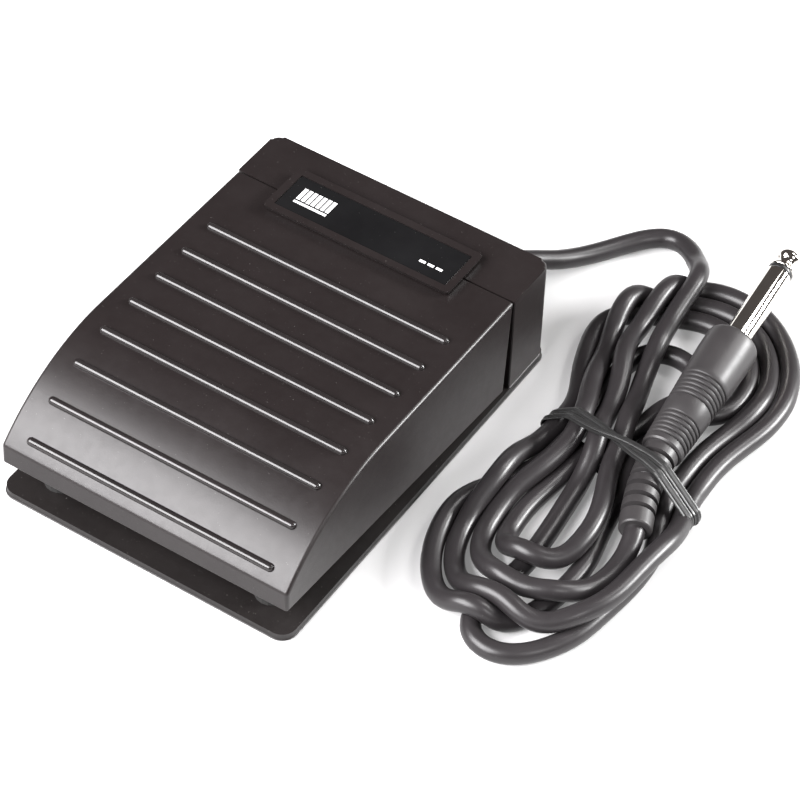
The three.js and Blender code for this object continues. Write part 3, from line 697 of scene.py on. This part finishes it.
FAR_THIRD = [
    [75.6, 37.4, 2.4], [79.2, 45.6, 2.4], [82.6, 54.4, 2.4], [84.4, 63.0, 2.4], [82.8, 71.2, 2.4],
    [77.4, 77.6, 2.4], [68.8, 81.0, 2.4], [60.8, 81.4, 2.4], [53.2, 79.4, 2.4], [47.0, 75.4, 2.4],
    [44.4, 69.4, 2.4], [45.2, 63.6, 2.4], [47.4, 57.6, 2.4], [50.4, 50.4, 2.4], [52.6, 43.0, 2.6],
    at_tie(53.0, 3.1),
]
NEAR_THIRD = [
    [52.9, 25.6, 5.4], [52.6, 17.6, 7.4], [51.6, 9.0, 6.4], [50.9, 1.0, 4.6], [51.2, -6.0, 3.6],
    [53.4, -12.0, 3.8], [58.2, -17.4, 4.8], [63.2, -20.8, 6.4], [68.4, -23.2, 7.6], [74.0, -23.8, 7.8],
    [80.6, -21.6, 7.2], [85.4, -17.6, 7.1], [88.8, -11.0, 7.1], [90.3, -4.2, 7.1], [90.0, 3.0, 7.1],
    [88.9, 10.0, 7.0], [88.4, 17.2, 5.6], [88.2, 24.4, 3.6], at_tie(88.0, 3.1),
]
FAR_OUTER = [
    [86.6, 38.8, 2.4], [88.0, 47.4, 2.4], [89.5, 55.4, 2.4], [90.5, 63.6, 2.4], [89.9, 71.4, 2.4],
    [87.0, 78.8, 2.4], [82.2, 85.2, 2.4], [75.6, 90.2, 2.4], [68.0, 92.8, 2.4], [60.9, 91.1, 2.4],
    [56.0, 87.4, 3.4], [53.4, 82.4, 6.6], [53.2, 76.2, 7.8], [53.6, 69.6, 7.4], [54.4, 62.6, 7.0],
    [55.8, 55.4, 6.8], [57.9, 48.0, 7.0], [60.4, 40.4, 7.4], at_tie(63.6, 7.8),
]
NEAR_LONGEST = [
    [64.8, 24.8, 5.2], [65.8, 18.8, 3.2], [67.0, 11.8, 2.4], [67.8, 3.6, 2.4], [67.8, -6.4, 2.4],
    [67.2, -15.6, 2.4], [66.8, -22.9, 2.4], [68.4, -28.4, 2.4], [72.8, -31.2, 2.4], [78.2, -30.1, 2.4],
    [82.4, -26.0, 2.4], [86.0, -19.0, 2.4], [88.6, -10.2, 2.4], [90.2, -1.2, 2.4], [90.3, 7.2, 2.4],
    [89.2, 15.0, 2.4], [86.4, 22.6, 2.6], at_tie(83.2, 3.1),
]
FAR_SECOND = [
    [84.2, 37.5, 2.4], [85.4, 46.0, 3.4], [86.6, 54.0, 4.8], [87.7, 61.0, 5.4], [87.3, 67.6, 5.4],
    [84.8, 74.8, 4.6], [79.4, 81.8, 3.2], [72.0, 86.6, 2.4], [64.6, 86.8, 2.4], [57.6, 85.0, 2.4],
    [52.2, 81.6, 3.0], [48.8, 77.0, 5.0], [47.6, 71.0, 6.0], [48.0, 65.4, 5.8], [49.8, 59.6, 5.8],
    [52.0, 53.4, 6.2], [54.6, 47.0, 6.8], [57.2, 39.6, 7.4], at_tie(58.8, 7.8),
]
NEAR_SECOND = [
    [58.4, 22.4, 7.6], [57.4, 16.0, 7.4], [56.0, 9.4, 7.2], [55.0, 3.0, 6.6], [55.4, -2.9, 6.0],
    [57.4, -7.6, 5.8], [60.8, -11.6, 6.4], [65.0, -14.4, 7.1], [70.0, -15.6, 7.2], [75.6, -14.2, 7.1],
    [80.6, -11.0, 7.1], [84.0, -6.6, 7.1], [85.8, -0.6, 7.1], [86.0, 5.6, 7.1],
    RELIEF_ROUTE[4], RELIEF_ROUTE[3],
]
TURNS = [
    LAST_OF_LEAD, NEAR_INNER, FAR_INNER, NEAR_OUTER, FAR_THIRD, NEAR_THIRD, FAR_OUTER, NEAR_LONGEST,
    FAR_SECOND, NEAR_SECOND,
]


def cord_route():
    """The whole cord: the lead, then the turns of the hank in order."""
    route = list(LEAD_ROUTE)
    for turn in TURNS:
        route += turn
    return np.array(route)


def push_out(points, start, end, distance):
    """Moves points that are nearer than distance to the line from start to end out to it."""
    start, end = np.array(start, float), np.array(end, float)
    line = end - start
    share = np.clip(((points - start) @ line) / (line @ line), 0, 1)
    away = points - start - share[:, None] * line
    gap = np.linalg.norm(away, axis=1)
    near = gap < distance
    points[near] += away[near] / np.maximum(gap[near], 1e-6)[:, None] * (distance - gap[near])[:, None]


CORD_SPACING = CORD_DIAMETER * 1.01


def part_touching(points, first, second):
    """Moves apart the pairs of points that are nearer than one cord."""
    between = points[first] - points[second]
    distance = np.linalg.norm(between, axis=1)
    touching = distance < CORD_SPACING
    one, other = first[touching], second[touching]
    gap = distance[touching]
    share = 0.5 * (CORD_SPACING - gap) / np.maximum(gap, 1e-6)
    moves = share[:, None] * between[touching]
    total = np.zeros_like(points)
    hits = np.zeros(len(points))
    np.add.at(total, one, moves)
    np.add.at(total, other, -moves)
    np.add.at(hits, one, 1)
    np.add.at(hits, other, 1)
    return 1.3 * total / np.maximum(hits, 1)[:, None]


def ease_bends(points, weight, step, tightest):
    """Evens out the bending along the cord, and opens any bend tighter than the given radius."""
    bend = np.zeros_like(points)
    bend[1:-1] = (points[:-2] + points[2:]) / 2 - points[1:-1]
    uneven = np.zeros_like(points)
    uneven[2:-2] = bend[2:-2] - (bend[1:-3] + bend[3:-1]) / 2
    points += 0.42 * uneven * weight
    bend[1:-1] = (points[:-2] + points[2:]) / 2 - points[1:-1]
    size = np.linalg.norm(bend, axis=1)
    excess = np.maximum(0, size - step * step / (2 * tightest)) / np.maximum(size, 1e-9)
    points += 0.5 * bend * excess[:, None] * weight


def keep_length(points, weight, step):
    links = np.diff(points, axis=0)
    length = np.linalg.norm(links, axis=1)[:, None]
    change = 0.25 * (length - step) * links / length
    points[:-1] += change * weight[:-1]
    points[1:] -= change * weight[1:]


def plug_solids():
    """The plug as rods: two ends and a radius each."""
    shoulder = PLUG_FACE - PLUG_DIRECTION * 8
    rear = PLUG_FACE - PLUG_DIRECTION * PLUG_BODY_LENGTH
    end = PLUG_FACE + PLUG_DIRECTION * 31
    solids = [(PLUG_FACE, shoulder, 6.4), (shoulder, rear, 5.7), (PLUG_FACE, end, SLEEVE_RADIUS)]
    solids += [(a, b, RELIEF_RADIUS + RELIEF_SWELL) for a, b in zip(RELIEF_ROUTE[:-1], RELIEF_ROUTE[1:])]
    return solids


def settle_cord(line, step, rounds, held, pull, passes, tightest=8.0, fall=0.02):
    """Lets the cord lie: it keeps its length, bends smoothly, rests on the floor and on itself,
    and stays out of the plug. The first part, of length held, and the end in the relief don't move."""
    points = line.copy()
    count = len(points)
    along = np.arange(count) * step
    free = (along > held) & (along < along[-1] - 4 * step)
    weight = free[:, None].astype(float)
    neighbours = math.ceil(3 * CORD_DIAMETER / step)
    before_relief = count - int(14 / step)
    for number in range(rounds):
        if number % 8 == 0:
            apart = ((points[:, None] - points[None]) ** 2).sum(2)
            first, second = np.nonzero(np.triu(apart < (CORD_DIAMETER + 3) ** 2, neighbours))
        points += pull * (line - points) * (1, 1, 0.5) * weight
        points[:, 2] -= fall * weight[:, 0]
        for _ in range(3):
            points += part_touching(points, first, second) * weight
            clear = points[:before_relief].copy()
            for start, end, radius in plug_solids():
                push_out(clear, start, end, radius + CORD_RADIUS + 0.05)
            points[:before_relief] = np.where(free[:before_relief, None], clear, points[:before_relief])
            from_tie = (points[:, 1] - TIE_CENTRE[1]) - TIE_TURN * (points[:, 0] - TIE_CENTRE[0])
            on_tie = TIE_THICKNESS * np.clip((9 - np.abs(from_tie)) / 6, 0, 1) * (points[:, 0] > 40)
            lowest = CORD_RADIUS + 0.03 + on_tie
            points[:, 2] = np.where(free, np.maximum(points[:, 2], lowest), points[:, 2])
        for _ in range(passes):
            ease_bends(points, weight, step, tightest)
        for _ in range(2):
            keep_length(points, weight, step)
    return points


def make_cord():
    held = len(spline(LEAD_ROUTE, 1.0)) - 12
    coarse, fine = 3.0, 1.5
    line = settle_cord(spline(cord_route(), coarse), coarse, 320, held, pull=0.04, passes=3)
    line = settle_cord(spline(line, fine), fine, 200, held, pull=0.01, passes=4)
    line = line[::2]
    curve = bpy.data.curves.new("cord", "CURVE")
    curve.dimensions = "3D"
    path = curve.splines.new("BEZIER")
    path.bezier_points.add(len(line) - 1)
    for point, place in zip(path.bezier_points, line):
        point.co = Vector(place) * MM
        point.handle_left_type = point.handle_right_type = "AUTO"
    curve.bevel_depth = CORD_RADIUS * MM
    curve.bevel_resolution = 9
    curve.resolution_u = 3
    curve.use_fill_caps = True
    cord = bpy.data.objects.new("cord", curve)
    bpy.context.scene.collection.objects.link(cord)
    curve.materials.append(LOOKS["cord_vinyl"].material)
    length = float(np.linalg.norm(np.diff(line, axis=0), axis=1).sum())
    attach(cord, "pedal")
    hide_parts("cable_lead", "cable_hank")
    return cord, line, length


cord, cord_line, cord_length = make_cord()


# ---------------------------------------------------------------- twist tie
TIE_WIDTH = 2.15
TIE_HALF_THICKNESS = 0.32
TIE_REACH = 3.2
HANK_START_X = 40
# One band's section: shares of its half width and half thickness, with a wire's ridge in the middle.
TIE_HALF_SECTION = [(1.0, 0.35), (0.86, 0.5), (0.6, 0.28), (0.36, 0.3), (0.24, 0.95)]
TIE_SECTION = (
    [(-1.0, -0.5), (1.0, -0.5)] + TIE_HALF_SECTION + [(0, 1.25)]
    + [(-share, rise) for share, rise in TIE_HALF_SECTION[::-1]]
)


def turns_right(a, b, c):
    return (b[0] - a[0]) * (c[1] - a[1]) - (b[1] - a[1]) * (c[0] - a[0]) <= 0


def hull(points):
    """The convex hull of points in a plane, anticlockwise."""
    points = sorted(map(tuple, points))

    def half(sequence):
        out = []
        for p in sequence:
            while len(out) > 1 and turns_right(out[-2], out[-1], p):
                out.pop()
            out.append(p)
        return out[:-1]

    return half(points) + half(points[::-1])


def tie_axes():
    across_bundle = Vector((math.cos(TIE_TURN), math.sin(TIE_TURN), 0))
    along_bundle = Vector((-math.sin(TIE_TURN), math.cos(TIE_TURN), 0))
    return across_bundle, along_bundle


def bundle_outline(over, along, centre):
    """The tie's closed path round everything that it holds: (across, up) points."""
    circles = []
    for point in cord_line:
        offset = Vector(point) - centre
        if abs(offset.dot(along)) < TIE_REACH and point[0] > HANK_START_X:
            circles.append((offset.dot(over), point[2], CORD_RADIUS))
    for point in spline(RELIEF_ROUTE, 0.5):
        offset = Vector(point) - centre
        if abs(offset.dot(along)) < TIE_REACH:
            circles.append((offset.dot(over), point[2], RELIEF_RADIUS + RELIEF_SWELL))
    clearance = TIE_HALF_THICKNESS + 0.04
    samples = [
        (u + (r + clearance) * math.cos(a), z + (r + clearance) * math.sin(a))
        for u, z, r in circles
        for a in np.linspace(0, 2 * math.pi, 24, endpoint=False)
    ]
    corners = hull(samples)
    outline = np.array(corners + corners[:1])
    outline[:, 1] = np.maximum(outline[:, 1], TIE_HALF_THICKNESS)
    return respaced(np.c_[outline, np.zeros(len(outline))], 0.6)[:-1, :2]


def make_tie():
    """The twist tie: two bands side by side that cross over on top of the bundle."""
    over, along = tie_axes()
    centre = Vector((*TIE_CENTRE, 0))
    loop = bundle_outline(over, along, centre)
    count = len(loop)
    highest = loop[:, 1].max()
    middle = loop[loop[:, 1] > 0.6 * highest][:, 0].mean()
    for number, side in enumerate((-1, 1)):
        bm = bmesh.new()
        rings = []
        for i in range(count):
            u, z = loop[i]
            ahead = Vector((*(loop[(i + 1) % count] - loop[i - 1]), 0)).normalized()
            outward = Vector((ahead.y, -ahead.x, 0))
            if z > 0.3 * highest:
                swing = math.tanh((u - middle + 2) / 6)
            else:
                swing = math.tanh(2) * (1 if u > middle else -1)
            shift = side * 1.25 * swing - 0.25
            lift = 0.5 * number * math.exp(-((u - middle + 2) / 5) ** 2) if z > 4 else 0
            section = []
            for share, rise in TIE_SECTION:
                out = rise * TIE_HALF_THICKNESS + lift
                point = centre + over * (u + outward.x * out) + UP * (z + outward.y * out)
                point = point + along * (shift + share * TIE_WIDTH / 2)
                section.append(bm.verts.new(point))
            rings.append(section)
        ring_faces(bm, rings + rings[:1], closed_ends=False)
        band = new_object(f"twist_tie_wrap_{number + 1}", bm)
        piece(band, "tie_vinyl", replaces=["twist_tie"] if number == 0 else ())


make_tie()

# ---------------------------------------------------------------- treadle
PIN_LOW, PIN_HIGH = limits("hinge_pin_left")
HINGE = ((PIN_LOW[1] + PIN_HIGH[1]) / 2, (PIN_LOW[2] + PIN_HIGH[2]) / 2)
PIN_HOLE_RADIUS = 1.62
LUG_X = 23.5
SPRING_Y = -8
SIDE_DRAFT = 0.018
WALL = 2.2
TREADLE_LOW, TREADLE_HIGH = limits("treadle")
TREADLE_FRONT = TREADLE_LOW[1]
TREADLE_REAR = TREADLE_HIGH[1]
TREADLE_HALF_WIDTH = 37.2
LIP_BOTTOM = 10.2
DECK_HIGH = 30.6
DECK_HIGH_Y = -17.25
DECK_REAR = 29.9
CURVE_RADIUS = 47.7
DECK_SLOPE = (DECK_REAR - DECK_HIGH) / (36.65 - DECK_HIGH_Y)
CURVE_CENTRE = (DECK_HIGH_Y + CURVE_RADIUS * DECK_SLOPE, DECK_HIGH - CURVE_RADIUS)
RIB_COUNT = 8
RIB_PITCH = 9.95
FIRST_RIB_Y = 17.25
RIB_HALF_LENGTH = 32.2
RIB_RADIUS = 1.0


def drafted(top):
    """Places (y, z, x) points on sides that lean out towards the bottom."""
    def place(y, z, x):
        return (x + math.copysign(SIDE_DRAFT * (top - z), x), y, z)
    return place


def curve_points(radius, from_y, count):
    start = math.acos((from_y - CURVE_CENTRE[0]) / radius)
    return [
        (CURVE_CENTRE[0] + radius * math.cos(a), CURVE_CENTRE[1] + radius * math.sin(a))
        for a in np.linspace(math.pi / 2 + DECK_SLOPE, start, count)
    ]


def rib_place(distance):
    """Where a rib sits, at a distance forward of the first one along the deck and its curve."""
    on_deck = FIRST_RIB_Y - distance
    if on_deck >= DECK_HIGH_Y:
        return on_deck, DECK_HIGH + DECK_SLOPE * (on_deck - DECK_HIGH_Y)
    angle = (DECK_HIGH_Y - on_deck) / CURVE_RADIUS
    y = CURVE_CENTRE[0] - CURVE_RADIUS * math.sin(angle)
    return y, CURVE_CENTRE[1] + CURVE_RADIUS * math.cos(angle)


def treadle_outline(inset):
    """The treadle's side view, drawn in by inset all round."""
    corners = [
        (TREADLE_FRONT + inset, LIP_BOTTOM + inset), (TREADLE_REAR - 1.75 - inset, TREADLE_LOW[2] + inset),
        (TREADLE_REAR - inset, DECK_REAR - inset),
    ]
    outline = corners + curve_points(CURVE_RADIUS - inset, TREADLE_FRONT + inset, 40)
    radii = {0: 0.5, 1: 0.4, 2: 0.35, len(outline) - 1: 1.1}
    return fillet(outline, {corner: max(radius - inset, 0.06) for corner, radius in radii.items()}, 4)


def rounded_bar(name, outline_at, half, radius, place, steps=5):
    """A bar of constant section from -half to half, its end edges rounded."""
    bm = bmesh.new()
    stations = []
    for k in range(steps + 1):
        angle = math.pi / 2 * k / steps
        stations.append((half - radius + radius * math.sin(angle), radius * (1 - math.cos(angle))))
    stations = [(-along, inset) for along, inset in stations[::-1]] + stations
    rings = [[bm.verts.new(place(u, v, along)) for u, v in outline_at(inset)] for along, inset in stations]
    ring_faces(bm, rings)
    return new_object(name, bm)


def make_treadle():
    w = TREADLE_HALF_WIDTH
    shell = rounded_bar("treadle_shell", treadle_outline, w, 0.8, drafted(DECK_REAR))
    inner = [(TREADLE_FRONT + 2, 0), (TREADLE_REAR + 5, 0), (TREADLE_REAR + 5, DECK_REAR - WALL)]
    inner += curve_points(CURVE_RADIUS - WALL, TREADLE_FRONT + 2, 16)
    hollow = prism("hollow", inner, -(w - WALL), w - WALL, drafted(DECK_REAR))
    cut(shell, hollow)
    inside = [
        rod("boss", 6.6, (0, SPRING_Y, 25), UP, 4.2),
        box("press_rib", (12, 16), (0.8, 3.2), (21.3, 29)),
        box("catch", (-6, 6), (TREADLE_FRONT + 1, -38.7), (11.3, 12.9)),
    ]
    for sign in (-1, 1):
        for x in (18.5, 28.5):
            inside.append(box("ear", (sign * x - 1.6, sign * x + 1.6), (27.6, 34.6), (20.8, 28.6)))
    join(shell, *inside)
    holes = [rod("seat", 5.4, (0, SPRING_Y, 20), UP, 7)]
    for sign in (-1, 1):
        holes.append(rod("pin_hole", PIN_HOLE_RADIUS, (sign * LUG_X - 8, *HINGE), ALONG_X, 16))
    cut(shell, *holes)
    piece(shell, "black_plastic", "treadle", ["treadle"])


def make_ribs():
    """The smooth grip ribs across the deck, sunk to half their thickness."""
    bm = bmesh.new()
    for index in range(RIB_COUNT):
        y, z = rib_place(index * RIB_PITCH)
        profile = [(0, 0)]
        for a in np.linspace(0.18, math.pi / 2, 7):
            profile.append((RIB_RADIUS * math.sin(a), RIB_RADIUS * (1 - math.cos(a))))
        length = 2 * RIB_HALF_LENGTH
        profile += [(r, length - s) for r, s in profile[::-1]]
        rib = turned("rib", profile, (-RIB_HALF_LENGTH, y, z + 0.02), ALONG_X, 32)
        bm.from_mesh(rib.data)
        bpy.data.objects.remove(rib)
    bmesh.ops.scale(bm, vec=(1 / MM, 1 / MM, 1 / MM), verts=bm.verts)
    piece(new_object("treadle_ribs", bm), "smooth_plastic", "treadle")


make_treadle()
make_ribs()

# ---------------------------------------------------------------- nameplate
PLATE_LOW, PLATE_HIGH = limits("nameplate_frame")
PLATE_X = (PLATE_LOW[0], PLATE_HIGH[0])
PLATE_Y = (PLATE_LOW[1], PLATE_HIGH[1])
PLATE_BOTTOM = PLATE_LOW[2]
PLATE_TOP = PLATE_HIGH[2]
PLATE_RIM = 1.5
PLATE_RECESS = 0.45
SIGN_MARGIN = 4.6


def rectangle(x, y, radius, steps=5):
    corners = [(x[0], y[0]), (x[1], y[0]), (x[1], y[1]), (x[0], y[1])]
    if not radius:
        return corners
    return fillet(corners, {i: radius for i in range(4)}, steps)


def make_pictogram(top):
    """A plain printed sign on the label: a row of keys over a line, and three short bars."""
    height = 0.03
    middle = (PLATE_Y[0] + PLATE_Y[1]) / 2
    bars = []
    for key in range(7):
        left = PLATE_X[0] + SIGN_MARGIN + 1.3 * key
        bars.append(box("bar", (left, left + 0.95), (middle - 1.4, middle + 2.6), (top, top + height)))
    left = PLATE_X[0] + SIGN_MARGIN
    bars.append(box("bar", (left, left + 8.75), (middle - 2.6, middle - 1.9), (top, top + height)))
    for dash in range(3):
        right = PLATE_X[1] - SIGN_MARGIN - 2.2 * dash
        bars.append(box("bar", (right - 1.6, right), (middle - 2.4, middle - 1.7), (top, top + height)))
    sign = join(bars[0], *bars[1:])
    sign.name = "nameplate_sign"
    piece(sign, "label_ink", "treadle")


def make_nameplate():
    lean = 0.35

    def place(u, v, w):
        share = (PLATE_TOP - w) / (PLATE_TOP - PLATE_BOTTOM)
        middle = ((PLATE_X[0] + PLATE_X[1]) / 2, (PLATE_Y[0] + PLATE_Y[1]) / 2)
        return (
            u + math.copysign(lean * (share - 1), u - middle[0]),
            v + math.copysign(lean * (share - 1), v - middle[1]),
            w,
        )

    def top_rim(first, second):
        return first.z > PLATE_TOP - 0.01 and second.z > PLATE_TOP - 0.01

    plate = prism(
        "nameplate_frame_fine", rectangle(PLATE_X, PLATE_Y, 0.7), PLATE_BOTTOM, PLATE_TOP, place,
        [(0.4, top_rim)],
    )
    x = (PLATE_X[0] + PLATE_RIM, PLATE_X[1] - PLATE_RIM)
    y = (PLATE_Y[0] + PLATE_RIM, PLATE_Y[1] - PLATE_RIM)
    recess = prism("recess", rectangle(x, y, 0.35, 3), PLATE_TOP - PLATE_RECESS, PLATE_TOP + 1, flat)
    cut(plate, recess)
    piece(plate, "black_plastic", "treadle", ["nameplate_frame"])
    label_top = PLATE_TOP - PLATE_RECESS + 0.24

    def upper(first, second):
        return first.z > label_top - 0.01 and second.z > label_top - 0.01

    gap = 0.14
    label = prism(
        "nameplate_label_fine", rectangle((x[0] + gap, x[1] - gap), (y[0] + gap, y[1] - gap), 0.3, 3),
        PLATE_TOP - PLATE_RECESS + 0.04, label_top, flat, [(0.06, upper)],
    )
    make_pictogram(label_top)
    piece(label, "label_film", "treadle", ["nameplate_label"])


make_nameplate()

# ---------------------------------------------------------------- rear housing
HOUSING_LOW, HOUSING_HIGH = limits("rear_housing")
HOUSING_TOP = HOUSING_HIGH[2]
HOUSING_HALF_WIDTH = 37.3
HOUSING_FRONT = 36.8
HOUSING_REAR = HOUSING_HIGH[1]
HOUSING_FLOOR = HOUSING_LOW[2]
SCREW_X = 30
SCREW_Y = 44.6


def make_housing():
    w = HOUSING_HALF_WIDTH
    outline = fillet(
        [(-w, HOUSING_FRONT), (w, HOUSING_FRONT), (w, HOUSING_REAR), (-w, HOUSING_REAR)],
        {0: 0.3, 1: 0.3, 2: 2.4, 3: 2.4}, 8,
    )

    def place(u, v, z):
        return (u + math.copysign(SIDE_DRAFT * (HOUSING_TOP - z), u), v, z)

    def top_edge(first, second):
        return min(first.z, second.z) > HOUSING_TOP - 0.01 and max(first.y, second.y) > HOUSING_FRONT + 0.5

    def low_edge(first, second):
        return max(first.z, second.z) < HOUSING_FLOOR + 0.01

    shell = prism(
        "rear_housing_fine", outline, HOUSING_FLOOR, HOUSING_TOP, place,
        [(0.8, top_edge), (0.25, low_edge)],
    )
    x = w - WALL
    room = rectangle((-x, x), (HOUSING_FRONT + WALL, HOUSING_REAR - WALL), 0)
    hollow = prism("hollow", room, -1, HOUSING_TOP - WALL, place)
    cut(shell, hollow)
    added, removed = [], []
    for sign in (-1, 1):
        lug_x = (sign * LUG_X - 3, sign * LUG_X + 3)
        added.append(rod("post", 3.3, (sign * SCREW_X, SCREW_Y, HOUSING_FLOOR), UP, 26))
        added.append(box("lug", lug_x, (HOUSING_LOW[1], HOUSING_FRONT + 0.5), (20.6, 27.1)))
        removed.append(rod("screw_hole", 1.35, (sign * SCREW_X, SCREW_Y, 0), UP, 14))
        removed.append(rod("pin_hole", PIN_HOLE_RADIUS, (sign * LUG_X - 4, *HINGE), ALONG_X, 8))
    removed.append(rod("gland_hole", 4.3, (EXIT_X, HOUSING_REAR - 5, EXIT_Z), ALONG_Y, 10))
    removed.append(box("wire_notch", (8, 20), (HOUSING_FRONT - 1, HOUSING_FRONT + WALL + 1), (0, 8)))
    join(shell, *added)
    cut(shell, *removed)
    piece(shell, "black_plastic", replaces=["rear_housing"])


make_housing()

# ---------------------------------------------------------------- base and grip sheet
BASE_LOW, BASE_HIGH = limits("base_plate")
BASE_BOTTOM = BASE_LOW[2]
BASE_TOP = 2.5
GRIP_LOW, GRIP_HIGH = limits("grip_sheet")


def make_base():
    plate_outline = rectangle((BASE_LOW[0], BASE_HIGH[0]), (BASE_LOW[1], BASE_HIGH[1]), 3.6, 10)
    rims = [
        (0.4, lambda a, b: min(a.z, b.z) > BASE_TOP - 0.01),
        (0.25, lambda a, b: max(a.z, b.z) < BASE_BOTTOM + 0.01),
    ]
    plate = prism("base_plate_fine", plate_outline, BASE_BOTTOM, BASE_TOP, flat, rims)
    join(
        plate,
        rod("spring_post", 3.1, (0, SPRING_Y, 2), UP, 6),
        box("switch_wall", (17.6, 20.8), (2, 18), (2, 14)),
    )
    holes = []
    for sign in (-1, 1):
        holes.append(rod("hole", 1.6, (sign * SCREW_X, SCREW_Y, 0), UP, 4))
        holes.append(rod("head_hole", 3.1, (sign * SCREW_X, SCREW_Y, 0), UP, 1.85))
        holes.append(rod("clamp_hole", 1.1, (EXIT_X + sign * 4.9, 42.4, 0), UP, 4))
    holes.append(rod("rivet_hole", 1.25, (0, -30.5, 0), UP, 4))
    cut(plate, *holes)
    piece(plate, "base_plastic", replaces=["base_plate"])
    grip_outline = rectangle((GRIP_LOW[0], GRIP_HIGH[0]), (GRIP_LOW[1], GRIP_HIGH[1]), 3, 8)
    grip = prism(
        "grip_sheet_fine", grip_outline, GRIP_LOW[2], GRIP_HIGH[2], flat,
        [(0.15, lambda a, b: abs(a.z - b.z) < 0.01)],
    )
    piece(grip, "rubber", replaces=["grip_sheet"])


make_base()


# ---------------------------------------------------------------- gland
def make_gland():
    bore = CORD_RADIUS + 0.08
    rear = HOUSING_REAR
    profile = [
        (bore, rear - 3.8), (5.2, rear - 3.8), (5.2, rear - 2.5), (4, rear - 2.5), (4, rear + 0.1),
        (5.0, rear + 0.1), (5.15, rear + 0.3), (5.1, rear + 1.4), (4.7, rear + 1.8), (4.2, rear + 1.95),
    ]
    for k in range(6):
        for fall, at in ((0, 0), (0, 0.6), (0.35, 0.75), (0.35, 1.0)):
            profile.append((4.15 - 0.1 * k - fall, rear + 2.2 + 1.15 * k + at))
    profile += [(3.4, rear + 9.2), (2.9, GLAND_END_Y), (bore, GLAND_END_Y), (bore, rear - 3.8)]
    gland = turned("cable_gland_fine", profile, (EXIT_X, 0, EXIT_Z), ALONG_Y, 48)
    piece(gland, "gland_rubber", replaces=["cable_gland"])
    return gland


gland = make_gland()

# ---------------------------------------------------------------- pieces kept from the frame
KEPT = {
    "steel": [
        "hinge_pin_left", "hinge_pin_right", "housing_screw_left", "housing_screw_right",
        "clamp_screw_left", "clamp_screw_right", "stop_bracket", "stop_rivet", "switch_lever",
        "switch_screw_front", "switch_screw_rear",
    ],
    "rubber": ["bumper_left", "bumper_right"],
    "spring_steel": ["return_spring"],
    "felt": ["stop_pad"],
    "switch_plastic": ["switch_body"],
    "button_plastic": ["switch_plunger"],
    "brass": ["switch_terminal_common", "switch_terminal_closed", "switch_terminal_open"],
    "black_plastic": ["cable_clamp"],
    "red_wire": ["wire_signal"],
    "white_wire": ["wire_shield"],
}
for look, names in KEPT.items():
    for name in names:
        NODES[name].data.materials.clear()
        NODES[name].data.materials.append(LOOKS[look].material)
